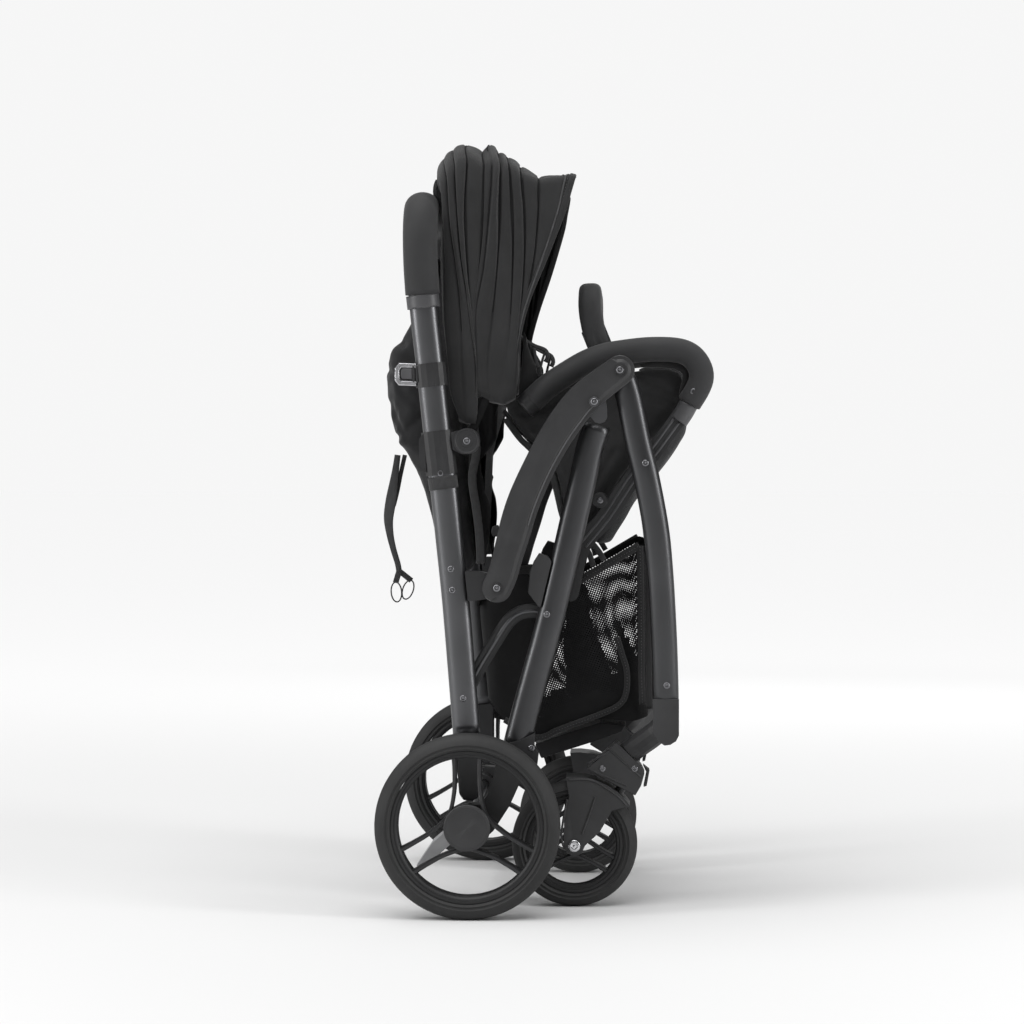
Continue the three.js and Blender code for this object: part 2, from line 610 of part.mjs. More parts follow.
// ---------------------------------------------------------------- assembly
for (const [name, side] of Object.entries(SIDES)) {
  add(`rear_leg_tube_${name}`, rearLegTube(side), TUBE);
  add(`rear_leg_tongue_${name}`, rearLegTongue(side), PLASTIC);
  add(`rear_axle_housing_${name}`, rearAxleHousing(side), PLASTIC);
  add(`latch_bracket_${name}`, latchBracket(side), PLASTIC);
  add(`rear_tyre_${name}`, tyre(REAR_WHEEL, REAR_AXLE, side), RUBBER);
  add(`rear_rim_${name}`, rim(REAR_WHEEL, REAR_AXLE, side), PLASTIC);
  add(`rear_hub_cap_${name}`, rearHubCap(side), PLASTIC);
  add(`front_tyre_${name}`, tyre(FRONT_WHEEL, FRONT_AXLE, side), RUBBER);
  add(`front_rim_${name}`, rim(FRONT_WHEEL, FRONT_AXLE, side), PLASTIC);
  add(`front_axle_bolt_${name}`, frontAxleBolt(side), STEEL);
  add(`front_fork_${name}`, frontFork(side), PLASTIC);
  add(`caster_housing_${name}`, casterHousing(side), PLASTIC);
  add(`swivel_lock_${name}`, swivelLock(side), PLASTIC);
  add(`front_leg_tube_${name}`, frontLegTube(side), TUBE);
  add(`front_leg_elbow_${name}`, frontLegElbow(side), PLASTIC);
  add(`armrest_link_${name}`, armrestLink(side), PLASTIC);
  add(`guide_link_${name}`, guideLink(side), PLASTIC);
  add(`clip_collar_${name}`, clipCollar(side), PLASTIC);
  add(`canopy_bracket_${name}`, canopyBracket(side), PLASTIC);
  add(`handle_plug_${name}`, handlePlug(side), PLASTIC);
  add(`handle_ear_${name}`, handleEar(side), PLASTIC);
  add(`armrest_bar_${name}`, armrestBar(side), FOAM);
  add(`seat_rail_${name}`, seatRail(side), PLASTIC);
}
add('rear_axle', rod(REAR_AXLE, AXLE_R, -287, 287, 14), STEEL);
add('basket_tray', basketTray(), FABRIC);
add('footrest_bar', footrestBar(), TUBE);
add('handle_tube', handleTube(), TUBE);
add('handle_grip', handleGrip(), FOAM);
add('bumper_bar', bumperBar(), FOAM);
add('seat_cover', seatCover(), FABRIC);
add('seat_sling', seatSling(), FABRIC);
add('backrest_pad', backrestPad(), FABRIC);
add('canopy_hood', canopyHood(), FABRIC);
add('canopy_front_bow', canopyFrontBow(), PLASTIC);
add('basket', basket(), FABRIC);
add('brake_pedal', brakePedal(), PEDAL_PLASTIC);
add('pull_strap', pullStrap(), FABRIC);

export default stroller;
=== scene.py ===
"""Folded baby stroller: the looks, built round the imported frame. Metres, +Z up, +X forwards."""

import math

import bmesh
import bpy
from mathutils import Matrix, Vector, noise


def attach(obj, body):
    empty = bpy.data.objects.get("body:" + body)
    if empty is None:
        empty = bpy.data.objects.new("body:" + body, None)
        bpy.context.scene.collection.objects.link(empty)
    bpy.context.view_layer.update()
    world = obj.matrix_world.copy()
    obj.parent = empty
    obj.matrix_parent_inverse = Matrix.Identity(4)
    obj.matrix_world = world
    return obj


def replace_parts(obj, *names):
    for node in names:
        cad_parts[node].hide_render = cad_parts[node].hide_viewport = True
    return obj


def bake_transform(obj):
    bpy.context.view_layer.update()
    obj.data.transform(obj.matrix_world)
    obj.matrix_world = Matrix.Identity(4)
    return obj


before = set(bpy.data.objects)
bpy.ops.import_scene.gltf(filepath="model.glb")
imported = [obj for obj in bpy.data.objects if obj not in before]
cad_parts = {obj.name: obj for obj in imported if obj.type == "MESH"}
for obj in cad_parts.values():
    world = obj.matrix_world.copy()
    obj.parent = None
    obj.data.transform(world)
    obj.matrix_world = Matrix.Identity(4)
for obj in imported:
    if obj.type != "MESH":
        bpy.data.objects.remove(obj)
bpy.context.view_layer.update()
SCENE = bpy.context.scene

# ---------------------------------------------------------------- drawing units
DRAWING_SHIFT = -55  # added to the drawing's X to give the frame's, in millimetres
SIDES = {"right": -1, "left": 1}


def at(x, y, z):
    """A point of the drawing, given in millimetres, as metres in the frame."""
    return Vector(((x + DRAWING_SHIFT) / 1000, y / 1000, z / 1000))


def beside(points, y=0, side=1):
    """Points (x, z) of the side view at one y, or (x, z, y) with their own, mirrored by side."""
    return [at(x, side * (own[0] if own else y), z) for x, z, *own in points]


def u_shape(half, y=0):
    """A line that runs up one side and down the other."""
    return beside(half, y, -1) + beside(half[::-1], y)


REAR_AXLE = (-50, 127)
FRONT_AXLE = (94, 88)
FRONT_WHEEL_Y = 154
REAR_WHEEL_Y = 274
CANOPY_PIVOT = (-53, 652)
LINK_TOP = (157, 749)
LEG_Y = 222
BAR_Y = 181
FORK_FACE_Y = FRONT_WHEEL_Y + 28.2
CASTER_FACE_Y = FRONT_WHEEL_Y + 21.2


class Shader:
    """A node-based material with textures laid out in the part's own space."""

    def __init__(self, name, slot, color, roughness, metallic=0.0, specular=0.5):
        self.material = bpy.data.materials.new(name)
        self.material.use_nodes = True
        self.nodes = self.material.node_tree.nodes
        self.links = self.material.node_tree.links
        self.bsdf = self.nodes["Principled BSDF"]
        self.color = color
        self.feed(self.bsdf, {"Base Color": (*color, 1), "Roughness": roughness, "Metallic": metallic,
                              "Specular IOR Level": specular})
        self.coords = self.add("TexCoord").outputs["Object"]
        self.height = None

    def feed(self, node, values):
        """Sets each input to its value, or links it where the value is a socket."""
        for key, value in values.items():
            if isinstance(value, bpy.types.NodeSocket):
                self.links.new(value, node.inputs[key])
            else:
                node.inputs[key].default_value = value

    def add(self, kind, values=None, **settings):
        node = self.nodes.new("ShaderNode" + kind)
        for key, value in settings.items():
            setattr(node, key, value)
        self.feed(node, values or {})
        return node

    def noise(self, scale, detail=3.0, stretch=(1, 1, 1)):
        where = self.add("Mapping", {"Scale": stretch, "Vector": self.coords}).outputs["Vector"]
        return self.add("TexNoise", {"Scale": scale, "Detail": detail, "Vector": where}).outputs["Fac"]

    def calculate(self, operation, a, b=0.0):
        return self.add("Math", {0: a, 1: b}, operation=operation).outputs[0]

    def ripple(self, weights, period):
        """A sine wave that runs along a direction, with a period in metres."""
        total = 0.0
        for output, weight in zip(self.add("SeparateXYZ", {0: self.coords}).outputs, weights):
            if weight:
                total = self.calculate("ADD", self.calculate("MULTIPLY", output, weight), total)
        return self.calculate("SINE", self.calculate("MULTIPLY", total, 2 * math.pi / period))

    def ramp(self, value, low, high, ends=(0.3, 0.7)):
        """A ramp from one colour to another."""
        node = self.add("ValToRGB", {"Fac": value})
        for element, position, color in zip(node.color_ramp.elements, ends, (low, high)):
            element.position = position
            element.color = (*color, 1)
        return node.outputs["Color"]

    def tint(self, value, low, high):
        """Varies the base colour between two multiples of itself."""
        low, high = (tuple(c * share for c in self.color) for share in (low, high))
        self.feed(self.bsdf, {"Base Color": self.ramp(value, low, high)})

    def roughen(self, value, low, high):
        spread = self.add("MapRange", {"To Min": low, "To Max": high, "Value": value})
        self.feed(self.bsdf, {"Roughness": spread.outputs["Result"]})

    def bump(self, value, distance, strength):
        """Adds relief on top of the relief that is there."""
        node = self.add("Bump", {"Distance": distance, "Strength": strength, "Height": value})
        if self.height:
            self.feed(node, {"Normal": self.height})
        self.height = node.outputs["Normal"]
        self.feed(self.bsdf, {"Normal": self.height})

    def worn_edges(self, color, amount=0.35):
        """Rubs convex edges a little paler, over the tint."""
        edge = self.add("NewGeometry").outputs["Pointiness"]
        rub = self.add("MapRange", {"From Min": 0.55, "From Max": 0.68, "To Max": amount, "Value": edge})
        tint = self.bsdf.inputs["Base Color"].links[0].from_socket
        mix = self.add("MixRGB", {"Color1": tint, "Color2": (*color, 1), "Fac": rub.outputs["Result"]})
        self.feed(self.bsdf, {"Base Color": mix.outputs["Color"]})

    def finish(self, values=None):
        self.feed(self.bsdf, values or {})
        return self.material


def make_tube_paint(name, level):
    s = Shader(name, "tube", (level, level * 1.01, level * 1.055), 0.34, metallic=0.9)
    s.tint(s.noise(9, 4), 0.88, 1.1)
    s.roughen(s.noise(260, 2, (1, 1, 0.12)), 0.3, 0.43)
    s.bump(s.noise(2600, 2), 0.00006, 0.35)
    return s.finish({"Coat Weight": 0.25, "Coat Roughness": 0.25})


def make_plastic(name, color, roughness=0.5):
    s = Shader(name, "plastic", color, roughness, specular=0.45)
    s.tint(s.noise(30, 4), 0.85, 1.15)
    s.roughen(s.noise(90, 3), roughness - 0.07, roughness + 0.09)
    s.bump(s.noise(1500, 2), 0.0001, 0.5)
    s.worn_edges(tuple(c * 2.2 + 0.01 for c in color))
    return s.finish()


def make_foam():
    s = Shader("foam", "foam", (0.02, 0.02, 0.021), 0.7, specular=0.35)
    s.tint(s.noise(22, 5), 0.85, 1.15)
    s.bump(s.noise(900, 3), 0.00035, 0.5)
    s.bump(s.noise(45, 2), 0.0012, 0.25)
    return s.finish({"Sheen Weight": 0.12, "Sheen Roughness": 0.5})


def make_cloth(name, color, sheen=0.22, creases=0.0022, thread=0.0011):
    s = Shader(name, "fabric", color, 0.88, specular=0.25)
    across = s.ripple((1, 1, 0.25), thread)
    along = s.ripple((0.2, 0, 1), thread)
    s.tint(s.noise(14, 5), 0.8, 1.18)
    s.bump(s.calculate("MULTIPLY", across, along), 0.00018, 0.6)
    s.bump(s.noise(520, 3), 0.00025, 0.4)
    s.bump(s.noise(26, 4, (1, 1, 0.45)), creases, 0.45)
    s.roughen(s.noise(60, 3), 0.8, 0.95)
    return s.finish({"Sheen Weight": sheen, "Sheen Roughness": 0.45})


def make_webbing(name, color):
    s = Shader(name, "fabric", color, 0.7, specular=0.35)
    s.tint(s.noise(120, 3), 0.75, 1.2)
    s.bump(s.ripple((0.4, 0.2, 1), 0.0016), 0.0003, 0.7)
    s.bump(s.ripple((1, 1, 0), 0.0011), 0.00016, 0.5)
    return s.finish({"Sheen Weight": 0.2})


def make_net(pitch=0.0048):
    """Knitted net: a dark thread round rows of small open holes."""
    s = Shader("net", "fabric", (0.008, 0.008, 0.0085), 0.8, specular=0.2)
    hole = s.calculate("MULTIPLY", s.ripple((1, 1, 0.5), pitch), s.ripple((-0.5, -0.5, 1), pitch))
    s.bump(hole, 0.0004, 0.6)
    s.tint(s.noise(40, 3), 0.8, 1.2)
    opening = s.calculate("GREATER_THAN", hole, 0.3)
    clear = s.add("BsdfTransparent").outputs[0]
    mix = s.add("MixShader", {"Fac": opening, 1: s.bsdf.outputs[0], 2: clear})
    s.feed(s.nodes["Material Output"], {"Surface": mix.outputs[0]})
    return s.finish()


def make_tyre():
    s = Shader("tyre", "tyre", (0.022, 0.022, 0.0222), 0.66, specular=0.4)
    s.tint(s.noise(18, 5), 0.8, 1.2)
    s.bump(s.noise(1100, 3), 0.0002, 0.5)
    s.roughen(s.noise(34, 3), 0.62, 0.82)
    s.worn_edges((0.075, 0.075, 0.074))
    return s.finish()


def make_steel(name, color, polish):
    s = Shader(name, "steel", color, 0.22, metallic=1.0)
    s.roughen(s.noise(700, 3, (1, 1, 0.2)), polish, polish + 0.18)
    s.tint(s.noise(160, 2), 0.82, 1.08)
    s.bump(s.noise(1400, 2), 0.00004, 0.3)
    return s.finish()


def make_floor():
    """Pale paper that is a little darker under the lamps, so that the floor looks even."""
    s = Shader("studio_floor", None, (0.95, 0.95, 0.95), 0.9, specular=0.05)
    distance = s.add("VectorMath", {0: s.coords}, operation="LENGTH").outputs["Value"]
    away = s.add("MapRange", {"From Min": 0.6, "From Max": 4.5, "Value": distance}, interpolation_type="SMOOTHSTEP")
    return s.finish({"Base Color": s.ramp(away.outputs["Result"], (0.7,) * 3, (0.915,) * 3, (0, 1))})


TUBE_PAINT = make_tube_paint("tube_paint", 0.098)
# The legs' paint is the handle's tube paint made darker: painted shade, because the legs catch less of the side lights.
SHADED_LEG_PAINT = make_tube_paint("leg_paint_painted_shade", 0.056)
PLASTIC = make_plastic("plastic", (0.016, 0.016, 0.017), 0.46)
LINK_PLASTIC = make_plastic("link_plastic", (0.024, 0.024, 0.025), 0.42)
CUFF_PLASTIC = make_plastic("cuff_plastic", (0.06, 0.06, 0.063), 0.4)
GREY_PLASTIC = make_plastic("grey_plastic", (0.3, 0.302, 0.308), 0.42)
# The wheel plastic made darker for the rim ring: painted shade in the deep ring inside the tyre.
RIM_PLASTIC_PAINTED_SHADE = make_plastic("rim_plastic_painted_shade", (0.009, 0.009, 0.0095), 0.5)
FOAM = make_foam()
CLOTH = make_cloth("cloth", (0.021, 0.021, 0.0215))
# Lining cloth painted almost black: partly its own dark tone, partly painted shade for the hood's inside, its seams,
# the back panel, the sling bolsters and the shaded parts of the basket.
LINING_WITH_PAINTED_SHADE = make_cloth("lining_painted_shade", (0.0045, 0.0045, 0.0048), sheen=0.05)
PADDED_CLOTH = make_cloth("padded_cloth", (0.017, 0.017, 0.018), creases=0.003)
BINDING = make_webbing("binding", (0.03, 0.03, 0.031))
WEBBING = make_webbing("webbing", (0.024, 0.024, 0.025))
THREAD = make_webbing("thread", (0.05, 0.05, 0.052))
NET = make_net()
TYRE = make_tyre()
STEEL = make_steel("steel", (0.62, 0.62, 0.64), 0.16)
DARK_STEEL = make_steel("dark_steel", (0.2, 0.2, 0.21), 0.2)


# ---------------------------------------------------------------- mesh tools
def smooth_line(points, count):
    """Points spaced evenly along a smooth curve through the given ones."""
    pts = [Vector(p) for p in points]
    ends = [pts[0] * 2 - pts[1], *pts, pts[-1] * 2 - pts[-2]]
    dense = []
    for a, b, c, d in zip(ends, ends[1:], ends[2:], ends[3:]):
        for k in range(24):
            t = k / 24
            dense.append(0.5 * ((2 * b) + (c - a) * t + (2 * a - 5 * b + 4 * c - d) * t * t
                                + (3 * b - a - 3 * c + d) * t * t * t))
    dense.append(pts[-1])
    lengths = [0.0]
    for p, q in zip(dense, dense[1:]):
        lengths.append(lengths[-1] + (q - p).length)
    line, k = [], 0
    for i in range(count):
        goal = lengths[-1] * i / (count - 1)
        while k < len(lengths) - 2 and lengths[k + 1] < goal:
            k += 1
        step = lengths[k + 1] - lengths[k] or 1
        line.append(dense[k].lerp(dense[k + 1], (goal - lengths[k]) / step))
    return line


def shade_smooth(mesh):
    mesh.polygons.foreach_set("use_smooth", [True] * len(mesh.polygons))


def place(name, mesh, material, body=None):
    """Adds a mesh to the scene, on its body and in the slot of its first material."""
    obj = bpy.data.objects.new(name, mesh)
    SCENE.collection.objects.link(obj)
    materials = material if isinstance(material, list) else [material]
    for m in materials:
        mesh.materials.append(m)
    shade_smooth(mesh)
    if body:
        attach(obj, body)
    return obj


def from_faces(name, vertices, faces, material, body=None):
    mesh = bpy.data.meshes.new(name)
    mesh.from_pydata([tuple(v) for v in vertices], [], faces)
    mesh.update()
    work = bmesh.new()
    work.from_mesh(mesh)
    bmesh.ops.recalc_face_normals(work, faces=work.faces)
    work.to_mesh(mesh)
    work.free()
    return place(name, mesh, material, body)


def rings_to_faces(rings, closed=True, caps=True, looped=False):
    """Vertices and faces that join rings of points. looped joins the last ring to the first."""
    count = len(rings[0])
    faces = []
    for r in range(len(rings) if looped else len(rings) - 1):
        a, b = r * count, (r + 1) % len(rings) * count
        for k in range(count if closed else count - 1):
            j = (k + 1) % count
            faces.append((a + k, a + j, b + j, b + k))
    if caps and closed:
        faces.append(tuple(range(count)))
        faces.append(tuple((len(rings) - 1) * count + k for k in range(count)))
    return [v for ring in rings for v in ring], faces


def frames_along(line, side):
    """Each point with a side, an up and an ahead vector, turning no more than the line does."""
    result = []
    side = Vector(side)
    for i, p in enumerate(line):
        ahead = (line[min(i + 1, len(line) - 1)] - line[max(i - 1, 0)]).normalized()
        side = (side - ahead * side.dot(ahead)).normalized()
        result.append((p, side, ahead.cross(side), ahead))
    return result


def ellipse_section(half_side, half_up, count=32):
    turn = [2 * math.pi * (k + 0.5) / count for k in range(count)]
    return [(half_side * math.cos(a), half_up * math.sin(a)) for a in turn]


def cushion_section(half_side, half_up, count=40, power=0.62):
    """A section between an ellipse and a rounded box."""
    section = []
    for k in range(count):
        c, d = math.cos(2 * math.pi * k / count), math.sin(2 * math.pi * k / count)
        section.append((half_side * math.copysign(abs(c) ** power, c), half_up * math.copysign(abs(d) ** power, d)))
    return section


def flat_section(half_side, half_up, count=3):
    """A strap's cross-section with rounded edges."""
    section = []
    for cx, start in ((half_side - half_up, -90), (half_up - half_side, 90)):
        for k in range(count + 1):
            a = math.radians(start + 180 * k / count)
            section.append((cx + half_up * math.cos(a), half_up * math.sin(a)))
    return section


def plate_section(half_side, half_up, corner_side, corner_up):
    """A rectangle with its corners cut."""
    a, b, c, d = half_side, half_up, corner_side, corner_up
    return [(a, -d), (a, d), (c, b), (-c, b), (-a, d), (-a, -d), (-c, -b), (c, -b)]


def turned(s, u, angle):
    return s * math.cos(angle) + u * math.sin(angle), u * math.cos(angle) - s * math.sin(angle)


def sweep(name, points, section, material, body=None, count=40, rounded=0.0, side=(0, 1, 0), scale=None, twist=0.0):
    """A bar along a smooth line. Its section is a list of points, or an ellipse's (half side, half up, steps)
    in a tuple. rounded is the length of its soft ends."""
    if isinstance(section, tuple):
        section = ellipse_section(*section)
    rings = []
    for i, (p, s, u, ahead) in enumerate(frames_along(smooth_line(points, count), side)):
        t = i / (count - 1)
        k = scale(t) if scale else 1.0
        s, u = turned(s, u, twist * t)
        ring = [p + s * a * k + u * b * k for a, b in section]
        ends = []
        if rounded and i in (0, count - 1):
            for grow, push in ((0.55, 0.85), (0.85, 0.55), (0.97, 0.2)):
                shift = ahead * rounded * push * (-1 if i == 0 else 1)
                ends.append([p + shift + (q - p) * grow for q in ring])
        rings += [*ends, ring] if i == 0 else [ring, *reversed(ends)]
    return from_faces(name, *rings_to_faces(rings), material, body)


def sharpen(obj, angle):
    obj.data.set_sharp_from_angle(angle=math.radians(angle))


def lathe(name, profile, centre, material, body, count=96, angle=40, distance=1e-6):
    """A body of revolution about Y. The profile is a closed list of (radius, y) in millimetres."""
    rings = []
    for k in range(count):
        a = 2 * math.pi * k / count
        rings.append([at(centre[0] + r * math.cos(a), y, centre[1] + r * math.sin(a)) for r, y in profile])
    obj = from_faces(name, *rings_to_faces(rings, caps=False, looped=True), material, body)
    work = bmesh.new()
    work.from_mesh(obj.data)
    bmesh.ops.remove_doubles(work, verts=work.verts, dist=distance)
    bmesh.ops.dissolve_degenerate(work, edges=work.edges, dist=distance)
    bmesh.ops.recalc_face_normals(work, faces=work.faces)
    work.to_mesh(obj.data)
    work.free()
    sharpen(obj, angle)
    return obj


def bevel(obj, width, segments=3, angle=30):
    """Rounds the sharp edges, by a width in millimetres."""
    modifier = obj.modifiers.new("Bevel", "BEVEL")
    modifier.width = width / 1000
    modifier.segments = segments
    modifier.limit_method = "ANGLE"
    modifier.angle_limit = math.radians(angle)
    modifier.harden_normals = True


def prism(name, outline, y0, y1, material, body, edge, segments=3):
    """A plate with its outline in the side view, in millimetres."""
    obj = from_faces(name, *rings_to_faces([beside(outline, y0), beside(outline, y1)]), material, body)
    bevel(obj, edge, segments)
    return obj


def rod(name, centre, r, y0, y1, material, body, edge):
    """A disc or pin about Y with rounded rims."""
    e = edge * (1 if y1 > y0 else -1)
    profile = [(0.01, y0), (r - edge, y0), (r, y0 + e), (r, y1 - e), (r - edge, y1), (0.01, y1)]
    return lathe(name, profile, centre, material, body, 48)


def strip_outline(centre, half_left, half_right, samples=44, end_steps=10):
    """The outline of a strip with round ends, with its own half width on each side."""
    line = smooth_line([Vector((x, z, 0)) for x, z in centre], samples)
    left, right = [], []
    heading = []
    for i, p in enumerate(line):
        d = (line[min(i + 1, samples - 1)] - line[max(i - 1, 0)]).normalized()
        t = i / (samples - 1)
        left.append((p.x - d.y * half_left(t), p.y + d.x * half_left(t)))
        right.append((p.x + d.y * half_right(t), p.y - d.x * half_right(t)))
        heading.append(math.atan2(d.y, d.x))
    caps = []
    for i, t, start in ((samples - 1, 1.0, math.pi / 2), (0, 0.0, -math.pi / 2)):
        cap = []
        for k in range(1, end_steps):
            a = start - math.pi * k / end_steps
            r = half_left(t) if (a > 0) == (i != 0) else half_right(t)
            cap.append((line[i].x + r * math.cos(heading[i] + a), line[i].y + r * math.sin(heading[i] + a)))
        caps.append(cap)
    return [*left, *caps[0], *reversed(right), *caps[1]]


def stitches(name, line, body=None, pitch=0.0042, radius=0.00042):
    """A row of sewn stitches along a line."""
    vertices, faces = [], []
    total = sum((b - a).length for a, b in zip(line, line[1:]))
    dense = smooth_line(line, max(3, int(total / pitch) * 2 + 1))
    for a, b in zip(dense[::2], dense[1::2]):
        ahead = (b - a).normalized()
        side = ahead.orthogonal().normalized()
        up = ahead.cross(side)
        rings = []
        for where, size in ((-1.0, 0.3), (-0.7, 1.0), (0.7, 1.0), (1.0, 0.3)):
            centre = (a + b) / 2 + (b - a) * 0.42 * where
            rings.append([centre + turned(side, up, math.pi * k / 3)[0] * radius * size for k in range(6)])
        corners, sides = rings_to_faces(rings)
        faces += [tuple(len(vertices) + i for i in face) for face in sides]
        vertices += corners
    return from_faces(name, vertices, faces, THREAD, body)


def crumple(obj, amount, scale, seed, squeeze=(1, 1, 1)):
    """Moves vertices along their normals by smooth seeded noise."""
    mesh = obj.data
    offset = Vector((seed * 3.1, seed * 1.7, seed * 0.9))
    normals = [v.normal.copy() for v in mesh.vertices]
    for v, n in zip(mesh.vertices, normals):
        p = v.co * Vector(squeeze) * scale + offset
        v.co += n * noise.noise(p) * amount
    mesh.update()


def apply_modifiers(obj):
    depsgraph = bpy.context.evaluated_depsgraph_get()
    mesh = bpy.data.meshes.new_from_object(obj.evaluated_get(depsgraph))
    obj.modifiers.clear()
    obj.data = mesh
    shade_smooth(mesh)


def puff(obj, voxel, cap, pressure, frames=20):
    """Swells a closed shape like a stuffed cover, by cloth simulation. No point moves further than cap."""
    remesh = obj.modifiers.new("Remesh", "REMESH")
    remesh.mode = "VOXEL"
    remesh.voxel_size = voxel
    materials = list(obj.data.materials)
    apply_modifiers(obj)
    mesh = obj.data
    mesh.materials.clear()
    for m in materials:
        mesh.materials.append(m)
    work = bmesh.new()
    work.from_mesh(mesh)
    for _ in range(3):
        bmesh.ops.smooth_vert(work, verts=work.verts, factor=0.5, use_axis_x=True, use_axis_y=True,
                              use_axis_z=True)
    work.to_mesh(mesh)
    work.free()
    rest = [v.co.copy() for v in mesh.vertices]
    cloth = obj.modifiers.new("Puff", "CLOTH")
    cloth.settings.use_pressure = True
    cloth.settings.uniform_pressure_force = pressure
    cloth.settings.effector_weights.gravity = 0
    cloth.settings.quality = 4
    cloth.point_cache.frame_start = 1
    cloth.point_cache.frame_end = frames
    for step in range(1, frames + 1):
        SCENE.frame_set(step)
    depsgraph = bpy.context.evaluated_depsgraph_get()
    swollen = [v.co.copy() for v in obj.evaluated_get(depsgraph).data.vertices]
    obj.modifiers.remove(cloth)
    SCENE.frame_set(1)
    for v, start, end in zip(mesh.vertices, rest, swollen):
        move = end - start
        if move.length > cap:
            move *= cap / move.length
        v.co = start + move
    shade_smooth(mesh)
    mesh.update()


# ---------------------------------------------------------------- camera, light and floor
def build_studio():
    def add(name, data, location=(0, 0, 0), target=None):
        obj = bpy.data.objects.new(name, data)
        obj.location = location
        if target:
            obj.rotation_euler = (Vector(target) - obj.location).to_track_quat("-Z", "Y").to_euler()
        SCENE.collection.objects.link(obj)
        return obj

    camera = bpy.data.cameras.new("camera")
    camera.lens = 101.7
    camera.sensor_width = 36
    camera.clip_end = 30
    SCENE.camera = add("camera", camera, at(165.75, -4199.97, 669.8), at(0, 0, 548))
    for name, location, target, size, power in (
        ("left_box", (-3.0, -1.7, 1.5), (0, 0, 0.7), (0.6, 2.2), 50),
        ("right_box", (2.8, -1.3, 1.4), (0, 0, 0.6), (0.7, 2.2), 46),
        ("back_box", (0.4, 3.0, 1.8), (0, 0, 0.6), (2.0, 2.0), 9),
    ):
        lamp = bpy.data.lights.new(name, "AREA")
        lamp.shape = "RECTANGLE"
        lamp.size, lamp.size_y = size
        lamp.energy = power
        add(name, lamp, location, target)
    lamp = bpy.data.lights.new("overhead", "SUN")
    lamp.energy = 3.0
    lamp.angle = math.radians(70)
    add("overhead", lamp).rotation_euler = (math.radians(12), math.radians(-8), 0)

    world = bpy.data.worlds.new("studio")
    world.use_nodes = True
    tree = world.node_tree
    background = tree.nodes["Background"]
    background.inputs["Color"].default_value = (1, 1, 1, 1)
    level = tree.nodes.new("ShaderNodeMapRange")
    level.inputs["To Min"].default_value = 0.11
    level.inputs["To Max"].default_value = 0.925
    seen = tree.nodes.new("ShaderNodeLightPath").outputs["Is Camera Ray"]
    tree.links.new(seen, level.inputs["Value"])
    tree.links.new(level.outputs["Result"], background.inputs["Strength"])
    SCENE.world = world
    SCENE.view_settings.view_transform = "Standard"

    mesh = bpy.data.meshes.new("studio_floor")
    mesh.from_pydata([(-30, -30, 0), (30, -30, 0), (30, 30, 0), (-30, 30, 0)], [], [(0, 1, 2, 3)])
    place("studio_floor", mesh, make_floor())


# ---------------------------------------------------------------- wheels
# Axle, middle plane, then the tyre's, the rim's and the opening's radius, the half width and the hub's radius.
WHEELS = {
    "rear": (REAR_AXLE, REAR_WHEEL_Y, 127, 105, 95, 21, 27),
    "front": (FRONT_AXLE, FRONT_WHEEL_Y, 88, 69, 58, 19, 14),
}
SPOKES = 3
HUB_CAP = [(0.01, 15), (31, 15), (32, 16.5), (32, 19.5), (31, 20.8), (29.5, 21), (28.2, 20.4), (27.4, 20.6),
           (24, 21.5), (12, 21.9), (0.01, 22)]


def both_halves(profile):
    return profile + [(a, -b) for a, b in reversed(profile)]


def build_wheel(kind, name, side):
    centre, y, r, rim, opening, half, hub = WHEELS[kind]
    body = f"{kind}_wheel_{name}"

    def turn(label, profile, material, count, angle=40):
        """A turned piece, from a profile of radii and distances out of the wheel's middle plane."""
        profile = [(a, side * (y + b)) for a, b in profile]
        return lathe(f"{kind}_{label}_{name}", profile, centre, material, body, count, angle)

    tread = [(rim, half - 3), (rim + 3, half - 0.6), (rim + 4, half - 1.6), (rim + 6.5, half - 1.6),
             (rim + 8, half), (r - 9, half - 1.5), (r - 5, half - 4.4), (r - 2, half - 8), (r - 0.6, half - 10.5),
             (r - 0.3, half - 11.5), (r - 2.0, half - 12), (r - 2.0, half - 13.6), (r - 0.2, half - 14.2),
             (r, half - 16), (r, 0.8), (r - 1.4, 0.5)]
    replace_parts(turn("tyre_skin", both_halves(tread), TYRE, 144, 50), f"{kind}_tyre_{name}")
    inner = half - 4
    ring = [(rim - 0.4, inner), (rim - 3, inner + 1.2), (rim - 5, inner + 1.2), (rim - 6, inner - 0.5),
            (opening + 2, inner - 1), (opening, inner - 3.5), (opening + 1.4, inner - 9)]
    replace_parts(turn("rim_ring", both_halves(ring), RIM_PLASTIC_PAINTED_SHADE, 128), f"{kind}_rim_{name}")
    reach = opening + 2.5
    width = inner * 0.66 / 1000
    for k in range(SPOKES):
        line = []
        for far, turned_by in ((reach, -49.5), (reach * 0.78, -47), (reach * 0.5, -38), (hub + 3.0, 0),
                               (reach * 0.5, 38), (reach * 0.78, 47), (reach, 49.5)):
            a = math.radians(turned_by - 90 + 360 * k / SPOKES)
            line.append((centre[0] + far * math.cos(a), centre[1] + far * math.sin(a)))
        spoke = sweep(f"{kind}_spoke_{name}_{k}", beside(line, y, side),
                      plate_section(width, 0.0026, width * 0.8, 0.0014), PLASTIC, body, 34,
                      scale=lambda t: 1.0 + 0.25 * abs(2 * t - 1) ** 3)
        sharpen(spoke, 30)
    turn("hub", [(0.01, -inner), (hub - 3, -inner), (hub - 1, 2 - inner), (hub - 2, 0), (hub, inner - 7),
                 (hub, inner - 4), (hub - 1, inner - 3), (0.01, inner - 3)], PLASTIC, 64)
    if kind == "rear":
        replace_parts(turn("hub_cover", HUB_CAP, LINK_PLASTIC, 96, 60), f"rear_hub_cap_{name}")


